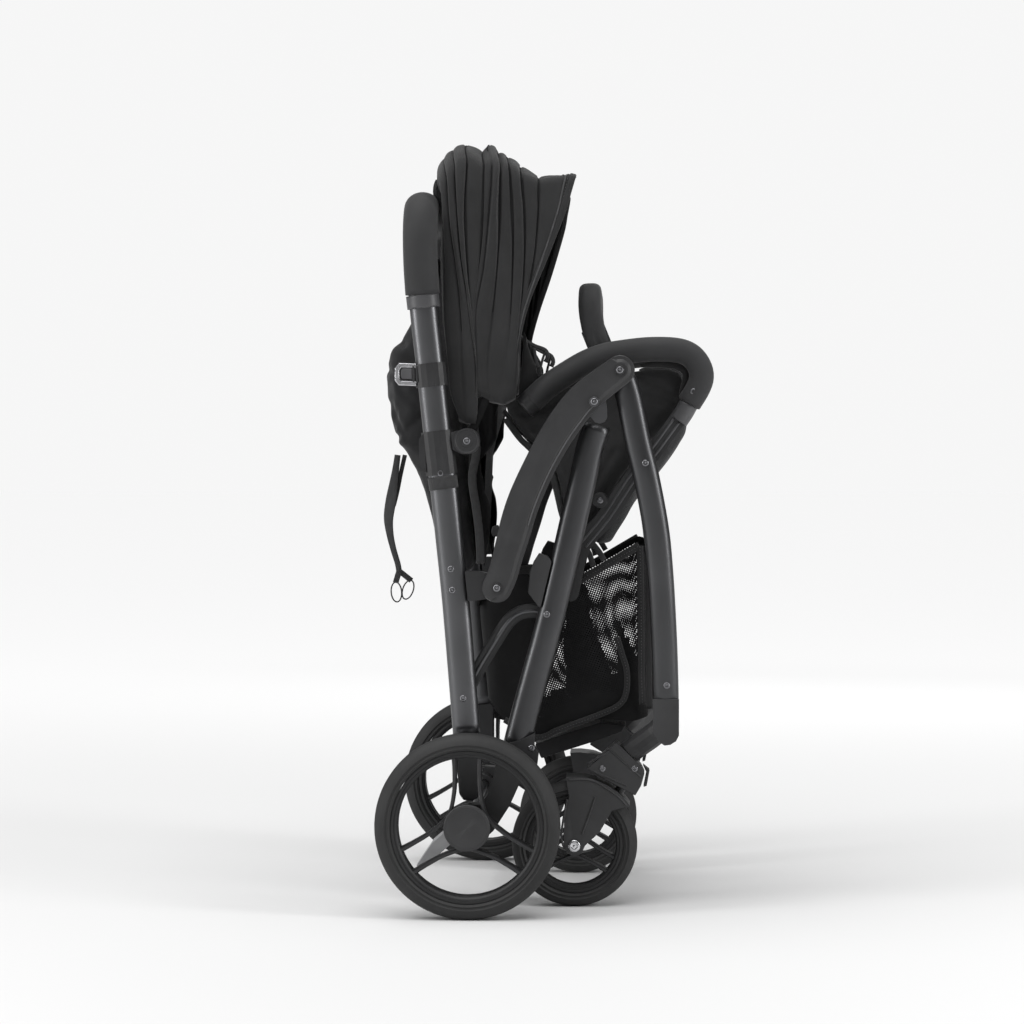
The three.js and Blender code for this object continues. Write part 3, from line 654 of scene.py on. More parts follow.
# ---------------------------------------------------------------- bars, screws and plates
# Lines are (x, z), or (x, z, y) where y changes.
REAR_LEG_LINE = [(15, 232), (35, 309), (54, 378), (68, 433), (81, 488), (94, 545), (106, 597), (115, 640),
                 (126, 675)]
FRONT_LEG_LINE = [(162, 735, 222), (170, 708, 222), (181, 654, 222), (194, 600, 222), (207, 530, 218),
                  (213, 470, 214), (217, 406, 210), (219.5, 351, 205), (221, 297, 201)]
HANDLE_LINE = [(-54, 249), (-60, 325), (-69, 433), (-77, 510), (-85, 585), (-95, 667), (-104, 750),
               (-113, 832), (-117, 895)]
HANDLE_TOP = [(-118, 937, 219), (-118, 967, 201), (-118, 978, 165), (-118, 978, 60)]
ARMREST_LINE = [(35, 708), (57, 728), (84, 746), (110, 761), (134, 770), (160, 775), (198, 779), (234, 778),
                (254, 771), (266, 757), (270, 741), (265, 725), (253, 705)]
BUMPER_LINE = [(130, 779, 150), (122, 800, 150), (117, 822, 150), (115, 838, 148), (115, 851, 138),
               (115, 856, 120), (115, 857, 90)]
GUIDE_LINE = [(57, 414), (38, 417), (19, 414), (3, 402), (-13, 378), (-39, 335), (-58, 298)]
OVAL_TUBE = (0.012, 0.019)

# Bars that both sides have: name, body, material, section, steps, length of the soft ends, y and line.
SMALL_RIB = (0.0012, 0.0016, 10)
CASTER_RIB = (0.001, 0.0014, 10)
BARS = (
    ("rear_leg_skin_{}", "rear_frame", SHADED_LEG_PAINT, OVAL_TUBE, 48, 0, LEG_Y, REAR_LEG_LINE),
    ("front_leg_skin_{}", "front_legs", SHADED_LEG_PAINT, (0.012, 0.018), 56, 0.012, LEG_Y, FRONT_LEG_LINE),
    ("grip_ring_{}", "handle", CUFF_PLASTIC, (0.0192, 0.0228), 8, 0.0006, LEG_Y, [(-112.6, 835), (-114.5, 852.6)]),
    ("handle_band_{}", "handle", WEBBING, (0.0136, 0.0204), 8, 0.0005, LEG_Y, [(-85.2, 586), (-87.4, 603.5)]),
    ("armrest_skin_{}", "seat_frame", FOAM, (0.0172, 0.0172, 36), 80, 0.003, BAR_Y, ARMREST_LINE),
    ("armrest_cuff_{}", "seat_frame", PLASTIC, (0.0171, 0.0171), 6, 0.003, BAR_Y, [(25, 699), (36, 709)]),
    ("bumper_cuff_{}", "seat_frame", PLASTIC, (0.0172, 0.0172), 12, 0.002, 0,
     [(119, 809, 150), (132, 777, 152), (136, 768, 158)]),
    ("guide_skin_{}", "guide_links", PLASTIC, plate_section(0.005, 0.0098, 0.0036, 0.0075), 40, 0.008, 202,
     GUIDE_LINE),
    ("guide_rib_{}", "guide_links", TUBE_PAINT, (0.0011, 0.0026, 10), 30, 0, 207,
     [(50, 415), *GUIDE_LINE[1:-1], (-54, 305)]),
    ("rail_rib_{}_0", "seat_frame", CUFF_PLASTIC, SMALL_RIB, 40, 0, BAR_Y + 8.2,
     [(232.4, 683.7), (202.4, 642.7), (170.4, 602.7), (135.4, 549.7), (102.4, 509.7)]),
    ("rail_rib_{}_1", "seat_frame", CUFF_PLASTIC, SMALL_RIB, 40, 0, BAR_Y + 8.2,
     [(239.6, 678.3), (209.6, 637.3), (177.6, 597.3), (142.6, 544.3), (109.6, 504.3)]),
    ("rail_cuff_{}", "seat_frame", CUFF_PLASTIC, (0.0135, 0.0135), 12, 0.001, BAR_Y,
     [(252, 703), (246, 692), (238, 680)]),
    ("fork_rib_{}_0", "front_fork_{}", LINK_PLASTIC, SMALL_RIB, 24, 0.001, FORK_FACE_Y,
     [(123, 156), (117, 138), (111, 121), (105, 105)]),
    ("fork_rib_{}_1", "front_fork_{}", LINK_PLASTIC, SMALL_RIB, 24, 0.001, FORK_FACE_Y,
     [(87, 180), (116, 180), (136, 170), (156, 156), (166, 145)]),
    ("fork_rib_{}_2", "front_fork_{}", LINK_PLASTIC, SMALL_RIB, 24, 0.001, FORK_FACE_Y,
     [(84, 152), (79, 126), (76, 100), (80, 84)]),
    ("caster_rib_{}_0", "front_legs", LINK_PLASTIC, CASTER_RIB, 8, 0.001, CASTER_FACE_Y, [(114, 203), (142, 219)]),
    ("caster_rib_{}_1", "front_legs", LINK_PLASTIC, CASTER_RIB, 8, 0.001, CASTER_FACE_Y, [(122, 190), (166, 172)]),
    ("caster_rib_{}_2", "front_legs", LINK_PLASTIC, CASTER_RIB, 8, 0.001, CASTER_FACE_Y, [(140, 224), (186, 184)]),
)
BAR_NODES = {"rear_leg_skin": "rear_leg_tube", "front_leg_skin": "front_leg_tube", "armrest_skin": "armrest_bar",
             "guide_skin": "guide_link"}

# Flat straps that both sides have: name, body, material, half width and thickness, the way that the width runs,
# steps, y, line and twist.
TAB_SIDE = (0.2, 1, 0.3)
STRAPS = (
    ("recline_strap_{}_0", "seat_frame", WEBBING, (0.0042, 0.0013), (1, 0, 0), 20, 0,
     [(116, 598, 167), (116, 577, 166), (112, 556, 165)], 0),
    ("recline_strap_{}_1", "seat_frame", WEBBING, (0.0042, 0.0013), (1, 0, 0), 20, 0,
     [(104, 512, 167), (114, 495, 166), (120, 478, 165)], 0),
    ("recline_strap_{}_2", "seat_frame", WEBBING, (0.0042, 0.0013), (1, 0, 0), 20, 0,
     [(112, 516, 167), (125.5, 501, 166), (135, 486, 165)], 0),
    ("sling_binding_{}", "backrest", BINDING, (0.006, 0.0012), (1, 0, 0), 40, 149,
     [(-50, 690), (-44, 640), (-50, 600), (-44, 555), (-40, 520), (-38, 480)], 0),
    ("wing_binding_{}", "seat_frame", BINDING, (0.0045, 0.0016), (1, 0, 1), 40, 160,
     [(-3, 683), (17, 656), (35, 638), (61, 607), (77, 547), (93, 507)], 0),
    ("harness_tab_{}_0", "seat_frame", WEBBING, (0.0042, 0.0012), TAB_SIDE, 24, 152,
     [(16, 800, 150), (26, 792, 150), (38, 785, 151), (52, 779), (56, 770), (53, 762)], 0.5),
    ("harness_tab_{}_1", "seat_frame", WEBBING, (0.0042, 0.0012), TAB_SIDE, 24, 0,
     [(53, 778, 152), (49, 766, 156), (46, 752, 160), (47, 741, 164)], 0.2),
    ("harness_tab_{}_2", "seat_frame", WEBBING, (0.0042, 0.0012), TAB_SIDE, 24, 0,
     [(22, 797, 148), (24, 783, 146), (28, 770, 145), (33, 762, 144), (30, 772, 143), (27, 790, 145)], 0.2),
)

# Rivets and screws: name, x, z, the distance of the face from the middle, body and radius.
SCREWS = (
    ("link_rivet_{}_0", *LINK_TOP, 253.1, "front_legs", 5.0), ("link_rivet_{}_1", 122, 706, 253.1, "rear_frame", 5.0),
    ("link_rivet_{}_2", -11, 451, 253.1, "handle", 5.0), ("screw_{}_0", -75, 476, 233.4, "handle", 4.6),
    ("screw_{}_1", -73, 447, 233.4, "handle", 4.6), ("screw_{}_2", -58, 298, 233.6, "handle", 4.6),
    ("screw_{}_3", -89, 608, 234.6, "handle", 4.6), ("screw_{}_4", 57, 414, 233.6, "rear_frame", 4.6),
    ("screw_{}_5", 192, 622, 233.6, "front_legs", 4.6), ("screw_{}_6", 222, 315, 214.6, "front_legs", 4.6),
    ("screw_{}_7", 36, 230, 235.8, "rear_frame", 4.6),
    ("screw_{}_8", 133, 195, FRONT_WHEEL_Y + 21, "front_legs", 4.6),
    ("screw_{}_9", 178, 195, FRONT_WHEEL_Y + 21, "front_legs", 4.6),
    ("recline_screw_{}", 130, 570, BAR_Y + 15.4, "seat_frame", 4.4),
    ("armrest_screw_{}", 259, 720, BAR_Y + 15.6, "seat_frame", 5.0),
    ("canopy_hub_screw_{}", *CANOPY_PIVOT, 233.4, "handle", 5.0),
    ("axle_head_{}", *FRONT_AXLE, FRONT_WHEEL_Y + 32, "front_fork_{}", 8.2),
)

# Plates: name, material, body, inner and outer y, rounded edge, its steps and outline.
PLATES = (
    ("clip_frame_{}", STEEL, "handle", 213.8, 230.4, 1.1, 2,
     [(-122.5, 727.6), (-146.5, 728.6), (-152.3, 735.4), (-152.3, 752.6), (-146.5, 759.4), (-122.5, 758.4),
      (-122.5, 752.6), (-143, 753), (-146, 749), (-146, 739), (-143, 735), (-122.5, 734)]),
    ("clip_tongue_{}", CUFF_PLASTIC, "handle", 216, 231.4, 1.5, 3,
     [(-128, 737), (-141.5, 737.5), (-143.5, 740), (-143.5, 749.5), (-141, 752), (-128, 751.6)]),
    ("clip_rib_{}_0", PLASTIC, "handle", 216, 232, 0.7, 2, [(-127.5, 733), (-124.5, 733), (-125, 755), (-128, 755)]),
    ("clip_rib_{}_1", PLASTIC, "handle", 216, 232, 0.7, 2,
     [(-123, 733), (-120, 733), (-120.5, 755), (-123.5, 755)]),
    ("harness_clip_{}", PLASTIC, "seat_rear_edge", 132, 146, 1.6, 3,
     [(-22, 532), (-14, 534), (-11, 526), (-13, 518), (-21, 517), (-24, 524)]),
)


def fastener(name, x, z, side, y, body, radius):
    """A domed rivet head with a dished middle, on the outer face at distance y."""
    profile = [(0.01, -1.0)]
    for share, out in ((5.5, -1.0), (5.5, 0.3), (4.9, 1.0), (3.6, 1.35), (2.9, 1.3), (2.4, 0.5), (1.4, 0.4),
                       (0.9, 0.9)):
        profile.append((share * radius / 5.5, out))
    profile = [(r, side * (y + out)) for r, out in [*profile, (0.01, 1.0)]]
    lathe(name, profile, (x, z), STEEL if "axle" in name else DARK_STEEL, body, 32, 50)


def build_pairs(name, side):
    """Every bar, strap, screw and plate that one side has."""
    for label, body, material, section, count, rounded, y, line in BARS:
        bar = sweep(label.format(name), beside(line, y, side), section, material, body.format(name), count, rounded)
        node = BAR_NODES.get(label.removesuffix("_{}"))
        if node:
            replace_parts(bar, f"{node}_{name}")
        if node == "guide_link":
            sharpen(bar, 30)
    for label, body, material, size, across, count, y, line, twist in STRAPS:
        sweep(label.format(name), beside(line, y, side), flat_section(*size), material, body, count, side=across,
              twist=twist)
    for label, x, z, y, body, radius in SCREWS:
        fastener(label.format(name), x, z, side, y, body.format(name), radius)
    for label, material, body, y0, y1, edge, steps, outline in PLATES:
        prism(label.format(name), outline, side * y0, side * y1, material, body, edge, steps)
    stitches(f"armrest_seam_{name}", beside(ARMREST_LINE[1:-1], BAR_Y - 17.4, side), "seat_frame")
    rod(f"front_leg_eye_{name}", LINK_TOP, 17.6, side * 212.4, side * 231.6, PLASTIC, "front_legs", 2.5)
    rod(f"recline_hub_{name}", (130, 570), 11, side * (BAR_Y + 5), side * (BAR_Y + 15), PLASTIC, "seat_frame", 2.0)
    pin = [(0.01, 231), (5.4, 231), (5.4, 250.4), (7.0, 250.6), (7.1, 252), (6.4, 253), (0.01, 253)]
    lathe(f"front_leg_pin_{name}", [(r, side * y) for r, y in pin], LINK_TOP, PLASTIC, "front_legs", 48)
    hub = [(0.01, 231), (17.6, 231), (18, 232), (17.6, 233.2), (15.5, 233.6), (14.6, 232.8), (8.4, 232.8),
           (8, 233.4), (0.01, 233.4)]
    lathe(f"canopy_hub_{name}", [(r, side * y) for r, y in hub], CANOPY_PIVOT, PLASTIC, "handle")


def build_crossing_bars():
    """The handle, its grip, the safety bar and the footrest bar."""
    tube = sweep("handle_skin", u_shape([*HANDLE_LINE, *HANDLE_TOP], LEG_Y), OVAL_TUBE, TUBE_PAINT, "handle", 150)
    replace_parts(tube, "handle_tube")
    grip = sweep("grip_skin", u_shape([(-114.5, 854), (-117, 895), *HANDLE_TOP], LEG_Y), (0.0208, 0.024, 40), FOAM,
                 "handle", 110, 0.0015, scale=lambda t: 0.985 + 0.015 * math.sin(math.pi * t))
    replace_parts(grip, "handle_grip")
    bar = sweep("bumper_skin", u_shape(BUMPER_LINE), cushion_section(0.0172, 0.0162), FOAM, "seat_frame", 90, 0.003)
    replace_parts(bar, "bumper_bar")
    bar = sweep("footrest_skin", [at(221, y, 268) for y in (-179, 0, 179)], (0.01, 0.01), TUBE_PAINT, "front_legs",
                12, 0.002, side=(1, 0, 0))
    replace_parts(bar, "footrest_bar")


# ---------------------------------------------------------------- armrest links and carried-over CAD pieces
LINK_LINE = [LINK_TOP, (113, 715), (88, 686), (65, 651), (42, 607), (23, 562), (9, 513), (-3, 470), (-11, 451)]
LINK_HALF = [20.5, 22, 23, 22.5, 22, 22.5, 22.5, 20.5, 20.5]
# The link's face in steps: y, then how far its rear and its front edge stand in.
LINK_STEPS = ((236.5, 1, 1), (237.2, 0.2, 0.2), (240, 0, 0), (246, 0, 0), (247.2, 1.0, 0.2), (247.6, 5.2, 0.5),
              (249.7, 9.0, 1.0), (250, 9.8, 2.0))
# Where the bead with the painted highlight runs on the link.
HIGHLIGHT_BEAD_INSET = (6.4, 40)


def link_outline(rear_inset, front_inset):
    def half(t):
        place_in = t * (len(LINK_HALF) - 1)
        k = min(int(place_in), len(LINK_HALF) - 2)
        return LINK_HALF[k] + (LINK_HALF[k + 1] - LINK_HALF[k]) * (place_in - k)

    return strip_outline(LINK_LINE, lambda t: half(t) - rear_inset, lambda t: half(t) - front_inset, 60)


def build_link(name, side):
    rings = [beside(link_outline(*insets), side * y) for y, *insets in LINK_STEPS]
    link = from_faces(f"link_skin_{name}", *rings_to_faces(rings), LINK_PLASTIC, "side_links")
    sharpen(link, 18)
    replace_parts(link, f"armrest_link_{name}")
    # A raised bead along the link's rear edge, in paler plastic than the link: a painted highlight line where the edge
    # catches the light.
    sweep(f"link_highlight_bead_{name}", beside(link_outline(*HIGHLIGHT_BEAD_INSET)[8:44], side * 249.0), (0.0011, 0.0011, 12),
          CUFF_PLASTIC, "side_links", 60, 0.001)


# Material and rounded edge in millimetres, for nodes that come in pairs and for single ones.
PAIRED_NODES = {
    "rear_leg_tongue": (TUBE_PAINT, 1.4), "rear_axle_housing": (PLASTIC, 2.2), "latch_bracket": (LINK_PLASTIC, 2.2),
    "front_axle_bolt": (STEEL, 0.7), "front_fork": (LINK_PLASTIC, 1.3), "caster_housing": (LINK_PLASTIC, 1.4),
    "swivel_lock": (PLASTIC, 0.8), "front_leg_elbow": (LINK_PLASTIC, 1.8), "clip_collar": (PLASTIC, 0.8),
    "canopy_bracket": (PLASTIC, 1.0), "handle_plug": (PLASTIC, 2.4), "handle_ear": (PLASTIC, 1.6),
    "seat_rail": (PLASTIC, 1.6),
}
SINGLE_NODES = {"rear_axle": (DARK_STEEL, 0.6), "basket_tray": (PADDED_CLOTH, 2.0), "canopy_front_bow": (LINING_WITH_PAINTED_SHADE, 0.4),
                "brake_pedal": (GREY_PLASTIC, 1.6)}


def polish_cad_nodes():
    """Gives the carried-over CAD pieces soft edges and their finish."""
    looks = {f"{node}_{name}": look for node, look in PAIRED_NODES.items() for name in SIDES}
    for node, (material, edge) in (looks | SINGLE_NODES).items():
        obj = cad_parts[node]
        obj.data.materials.clear()
        obj.data.materials.append(material)
        join = obj.modifiers.new("Weld", "WELD")
        join.merge_threshold = 1e-6
        flat = obj.modifiers.new("Flatten", "DECIMATE")
        flat.decimate_type = "DISSOLVE"
        flat.angle_limit = math.radians(1.5)
        bevel(obj, edge, 3, 28)


# ---------------------------------------------------------------- cloth sheets
def sheet_from_rows(name, rows, thickness, materials, outward_from, *crumples):
    """A lined sheet through rows of points, crumpled, then thickened inwards, away from its outer face."""
    vertices, faces = rings_to_faces(rows, closed=False)
    mesh = bpy.data.meshes.new(name)
    mesh.from_pydata([tuple(v) for v in vertices], [], faces)
    mesh.update()
    if sum(p.normal.dot(p.center - outward_from) * p.area for p in mesh.polygons) < 0:
        mesh.flip_normals()
    obj = place(name, mesh, materials)
    for settings in crumples:
        crumple(obj, *settings)
    solid = obj.modifiers.new("Solidify", "SOLIDIFY")
    solid.thickness = thickness
    solid.offset = -1
    solid.material_offset = len(materials) - 1
    apply_modifiers(obj)
    return obj


def fill_rows(ribs, steps, bulges, centre, valley, top_flat=0.5):
    """Rows between ribs, swelling outwards between each two and pinched at the ribs."""
    rows = []
    count = len(ribs[0])
    for i, (a, b) in enumerate(zip(ribs, ribs[1:])):
        for k in range(steps):
            t = k / steps
            row = []
            for j in range(count):
                middle = a[j].lerp(b[j], t)
                normal = (a[min(j + 1, count - 1)] - a[max(j - 1, 0)]).cross(b[j] - a[j])
                if normal.length < 1e-9:
                    normal = a[j] - centre
                normal.normalize()
                if normal.dot(middle - centre) < 0:
                    normal = -normal
                near_hem = min(1.0, min(j, count - 1 - j) / (0.22 * count))
                near_top = max(0.0, 1 - abs(2 * j / (count - 1) - 1) / 0.4)
                size = bulges[i] * near_hem ** 1.5 * (1 - top_flat * near_top)
                dip = valley * near_hem if k == 0 and i else 0.0
                row.append(middle + normal * (size * math.sin(math.pi * t) ** 0.75 - dip))
            rows.append(row)
    return [*rows, ribs[-1]]


HOOD_CENTRE = at(-30, 0, 850)
# Each fold line: its way up the side of the hood, where it crosses the top, its half width, how far its hem
# tucks in, the share of its way in at the shoulder, and how far the far side leans back.
HOOD_FOLDS = [
    ([(-68, 700), (-78, 735), (-86, 800), (-90, 860), (-92, 915), (-87, 955), (-84, 982)], (-104, 1022), 194),
    ([(-66, 680), (-78, 718), (-81, 760), (-84, 830), (-86, 905), (-88, 960), (-91, 998)], (-102, 1042), 208, 2),
    ([(-56, 676), (-60, 740), (-62, 820), (-68, 885), (-76, 935), (-80, 980), (-83, 1016)], (-92, 1059), 212),
    ([(-42, 675), (-41, 750), (-50, 830), (-62, 901), (-67, 956), (-70, 1005), (-71, 1030)], (-79, 1069), 213),
    ([(-40, 690), (-41, 760), (-49, 840), (-54, 901), (-57, 970), (-55, 1015), (-54, 1040)], (-62, 1075), 213),
    ([(-41, 712), (-43, 765), (-45, 830), (-36, 900), (-32, 965), (-31, 1010), (-31, 1034)], (-39, 1064), 212),
    ([(-36, 714), (-40, 760), (-42, 830), (-31, 890), (-24, 956), (-20, 1005), (-19, 1036)], (-30, 1077), 213),
    ([(-22, 707), (-26, 755), (-20, 815), (-14, 870), (-10, 930), (-9, 985), (-8, 1026)], (-18, 1065), 212, 1),
    ([(-4, 704), (-1, 752), (6, 815), (9, 872), (10, 930), (8, 985), (5, 1028)], (-4, 1057), 213),
    ([(12, 710), (15, 752), (18, 810), (23, 862), (26, 915), (25, 970), (21, 1019)], (14, 1045), 211, 2, (0.3, 0.7), 4),
    ([(13, 713), (16, 750), (18, 803), (29, 850), (39, 905), (44, 965), (45, 1011)], (39, 1032), 211, 3, (0.2, 0.5), 8),
    ([(13, 718), (15, 752), (17, 797), (29, 845), (53, 904), (78, 968), (92, 1017)], (88, 1034), 210, 5, (0.1, 0.4), 15),
]
HOOD_BULGES = [0.001, 0.0025, 0.004, 0.0045, 0.003, 0.001, 0.006, 0.005, 0.004, 0.002, 0.0012]
HOOD_SEAMS = (2, 3, 4, 5, 7, 8, 9, 10)
RIB_POINTS = 121
# The back panel's rows: x, z and half width.
CURTAIN = ((-105, 1026, 136), (-107, 1014, 177), (-106, 995, 186), (-98, 976, 190), (-93, 955, 192),
           (-96, 925, 190), (-97, 880, 188))


def hood_fold(side_points, top, half, tuck=0.0, shoulder=(0.42, 0.8), lean=0.0):
    """One fold line from the tucked-in hem, up one side, over the top and down the other side."""
    x0, z0 = side_points[0]
    right = [(x0 - 1, z0 + 9, 26 - half), (x0, z0 - 1, 11 + tuck - half)]
    for i, ((x, z), inset) in enumerate(zip(side_points, (1 + tuck, tuck * 0.7, tuck * 0.3, 0, 0, 2, 7))):
        right.append((x, z + (5 if i == 0 else 0), inset - half))
        if i == 5:
            x2, z2 = side_points[6]
            right.append(((x + x2) / 2, (z + z2) / 2, 4 - half))
    xe, ze = side_points[-1]
    for share, y in zip(shoulder, (32 - half, -half * 0.55)):
        right.append((xe + (top[0] - xe) * share, ze + (top[1] - ze) * share, y))
    left = [(x - lean * max(0.0, (z - 860) / 155), z, -y) for x, z, y in reversed(right)]
    return smooth_line(beside([*right, (top[0] - lean * 0.4, top[1], 0), *left]), RIB_POINTS)


def build_hood():
    ribs = [hood_fold(*fold) for fold in HOOD_FOLDS]
    edge, before = ribs[-1], ribs[-2]
    rows = fill_rows(ribs, 8, HOOD_BULGES, HOOD_CENTRE, 0.003)
    hood = sheet_from_rows("hood_shell", rows, 0.0014, [CLOTH, LINING_WITH_PAINTED_SHADE], HOOD_CENTRE,
                           (0.0026, 16, 3, (1.6, 0.6, 0.5)), (0.001, 46, 5, (1.5, 1, 0.45)))
    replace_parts(hood, "canopy_hood")

    def hem_line(share, lift, skip):
        """A line that follows the front edge, a share of the way back to the fold behind it."""
        return [edge[j].lerp(before[j], share) + (edge[j] - HOOD_CENTRE).normalized() * lift
                for j in range(skip, len(edge) - skip)]

    trims = [sweep("hood_binding", edge, flat_section(0.0046, 0.0017), CLOTH, None, RIB_POINTS, side=(-1, 0, 0.3)),
             sweep("hood_piping", hem_line(0.22, 0.0012, 8), (0.0011, 0.0011, 10), THREAD, None, RIB_POINTS)]
    for k in HOOD_SEAMS:
        line = [p - (p - HOOD_CENTRE).normalized() * 0.0012 for p in ribs[k][16:-16]]
        trims.append(sweep(f"hood_seam_{k}", line, (0.0011, 0.0011, 8), LINING_WITH_PAINTED_SHADE, None, 110))
    trims.append(stitches("hood_stitches", hem_line(0.14, 0.0008, 10)))
    for piece in [hood, *trims]:
        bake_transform(piece)

    across = 25
    curtain = []
    for x, z, half in CURTAIN:
        row = []
        for k in range(across):
            y = half * (2 * k / (across - 1) - 1)
            out = abs(y) / half
            sag = 3 * math.cos(y / 34) * (1 - abs(y) / 200)
            row.append(at(x + sag + 8 * out ** 4, y, z - 14 * out ** 3 * (z > 1010)))
        curtain.append(row)
    columns = [smooth_line([row[k] for row in curtain], 24) for k in range(across)]
    # The back panel is near-black lining: painted shade where the back of the hood lies in shadow.
    panel = sheet_from_rows("hood_back_panel", columns, 0.0015, [LINING_WITH_PAINTED_SHADE], at(0, 0, 950), (0.002, 30, 9))
    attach(panel, "handle")


# ---------------------------------------------------------------- stuffed covers
def inset_outline(outline, amount):
    """Moves a counter-clockwise outline inwards."""
    moved = []
    for i, point in enumerate(outline):
        ahead = (Vector(outline[(i + 1) % len(outline)]) - Vector(outline[i - 1])).normalized()
        moved.append(tuple(Vector(point) + Vector((-ahead.y, ahead.x)) * amount))
    return moved


def stuffed(name, outline, layers, material, body, voxel, cap, pressure=4.0):
    """A swollen cover. Its outline in the side view stands in by a distance at each of its layers (y, distance)."""
    area = sum(a[0] * b[1] - b[0] * a[1] for a, b in zip(outline, outline[1:] + outline[:1]))
    outline = outline if area > 0 else outline[::-1]
    rings = [beside(inset_outline(outline, inset), y) for y, inset in layers]
    obj = from_faces(name, *rings_to_faces(rings), material)
    puff(obj, voxel, cap, pressure)
    if body:
        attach(obj, body)
    return obj


def wide_layers(half, inset):
    """The layers of a cover that is rounded towards both its sides."""
    steps = [(-half, inset + 9), (-half + 4, inset + 4), (-half + 14, inset + 1), (-half + 30, inset)]
    return steps + [(-y, e) for y, e in reversed(steps)]


def carve(obj, lines, width, depth):
    """Presses grooves into a cover along lines in the side view."""
    mesh = obj.data
    normals = [v.normal.copy() for v in mesh.vertices]
    segments = []
    for line in lines:
        points = [Vector((p.x, p.z)) for p in beside(line)]
        segments += zip(points, points[1:])
    for v, n in zip(mesh.vertices, normals):
        p = Vector((v.co.x, v.co.z))
        near = width
        for a, b in segments:
            d = b - a
            t = max(0.0, min(1.0, (p - a).dot(d) / d.length_squared))
            near = min(near, (p - a - d * t).length)
        if near < width:
            v.co -= n * depth * (1 - near / width) ** 1.4
    mesh.update()


def subdivide(obj):
    modifier = obj.modifiers.new("Subdivision", "SUBSURF")
    modifier.levels = modifier.render_levels = 1


def finish_cover(obj, creases=(), crumples=()):
    for settings in creases:
        carve(obj, *settings)
    for settings in crumples:
        crumple(obj, *settings)
    subdivide(obj)


BACKREST = [(-46, 462), (-51, 500), (-60, 580), (-66, 650), (-74, 720), (-84, 800), (-93, 870), (-96, 918),
            (-104, 926), (-114, 922), (-122, 870), (-128, 830), (-146, 796), (-160, 784), (-171, 749), (-166, 700),
            (-156, 650), (-136, 630), (-118, 596), (-104, 540), (-94, 470), (-70, 456)]
SLING = [(-44, 738), (-12, 734), (-8, 705), (-14, 667), (-14, 653), (-28, 636), (-40, 618), (-25, 569), (-22, 541),
         (-26, 499), (-30, 470), (-40, 468), (-48, 520), (-56, 600), (-60, 660), (-60, 700)]
WING = [(-14, 704), (-2, 726), (8, 756), (17, 812), (28, 782), (45, 744), (64, 734), (90, 735), (130, 748), (200, 760),
        (244, 752), (254, 735), (250, 700), (160, 590), (122, 512), (92, 504), (76, 545), (60, 605), (34, 636),
        (16, 653), (-5, 681)]
SEAT_DROP = [(-8, 692), (14, 664), (40, 640), (64, 604), (80, 552), (98, 516), (126, 516)]
PAN_LINE = [(244, 680), (214, 636), (182, 596), (150, 548), (128, 512)]
BACKREST_FOLDS = [
    [(-171, 752), (-158, 737), (-144, 716), (-128, 700)], [(-168, 704), (-158, 681), (-144, 658)],
    [(-150, 790), (-138, 770), (-122, 758)], [(-160, 655), (-140, 668), (-118, 690)],
    [(-110, 580), (-98, 600), (-80, 640)], [(-104, 520), (-88, 545), (-70, 600)],
]
BACKREST_SEAMS = [[(-130, 640), (-100, 636), (-60, 640)], [(-125, 820), (-100, 812), (-80, 806)]]
BOLSTER_FOLDS = [[(-44, 700), (-34, 650), (-46, 600), (-38, 540), (-38, 475)], [(-28, 700), (-26, 660), (-40, 640)],
                 [(-32, 590), (-34, 540), (-32, 490)]]
WING_FOLDS = [[(2, 690), (30, 688), (60, 700), (95, 728)], [(14, 672), (40, 670), (70, 690)],
              [(-6, 696), (10, 704), (28, 712), (34, 728)], [(12, 776), (16, 740), (8, 712)],
              [(40, 744), (30, 730), (30, 712)], [(-2, 684), (20, 676), (36, 650)],
              [(30, 645), (50, 655), (84, 690)], [(60, 605), (84, 640), (110, 690)],
              [(90, 520), (110, 570), (150, 640)], [(150, 745), (190, 738), (240, 715)],
              [(160, 720), (200, 712), (244, 690)]]
WING_ROLL = [(186, 757, 166), (213, 759, 168), (236, 756, 168), (248, 747, 168), (247, 733, 167), (241, 718, 165)]
SLING_DROP = [(-50, 508), (-48, 484), (-44, 477), (-40, 482), (-36, 534), (-33, 614), (-30, 640), (-22, 668),
              (-11, 706)]


def build_backrest():
    pad = stuffed("backrest_cover", BACKREST, wide_layers(156, 4), PADDED_CLOTH, "backrest", 0.0055, 0.008)
    finish_cover(pad, ((BACKREST_FOLDS, 0.008, 0.005), (BACKREST_SEAMS, 0.006, 0.003)),
                 ((0.004, 19, 11, (1, 0.55, 0.8)), (0.0015, 55, 12)))
    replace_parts(pad, "backrest_pad")


def build_sling():
    """Side bolsters at the foot of the backrest, and the sheet that hangs between backrest and seat."""
    for name, side in SIDES.items():
        layers = [(side * y, e) for y, e in ((115, 10), (119, 5), (130, 3), (142, 4), (147, 9))]
        pad = stuffed(f"sling_bolster_{name}", SLING, layers, LINING_WITH_PAINTED_SHADE, "backrest", 0.0052, 0.005, 3.0)
        finish_cover(pad, ((BOLSTER_FOLDS, 0.007, 0.004),), ((0.0035, 24, 21 + side, (1, 0.6, 0.7)),))
    rows = []
    for point in smooth_line(beside(SLING_DROP), 64):
        half = 0.112 + 0.036 * max(0.0, (point.z - 0.6) / 0.1) * (point.x > at(-30, 0, 0).x)
        rows.append([Vector((point.x, half * k / 16, point.z - 0.004 * math.cos(k * 0.2))) for k in range(-16, 17)])
    sheet = sheet_from_rows("sling_sheet", rows, 0.0006, [PADDED_CLOTH], at(0, 0, 900), (0.0003, 26, 22))
    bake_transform(sheet)
    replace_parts(sheet, "seat_sling")


def sagging_rows(line, count, half, sag, wave):
    """Rows of points across the object, 6 mm apart, each with a sag in its middle."""
    return [[Vector((point.x, y / 1000, point.z - sag * math.cos(y / wave))) for y in range(-half, half + 1, 6)]
            for point in smooth_line(beside(line), count)]


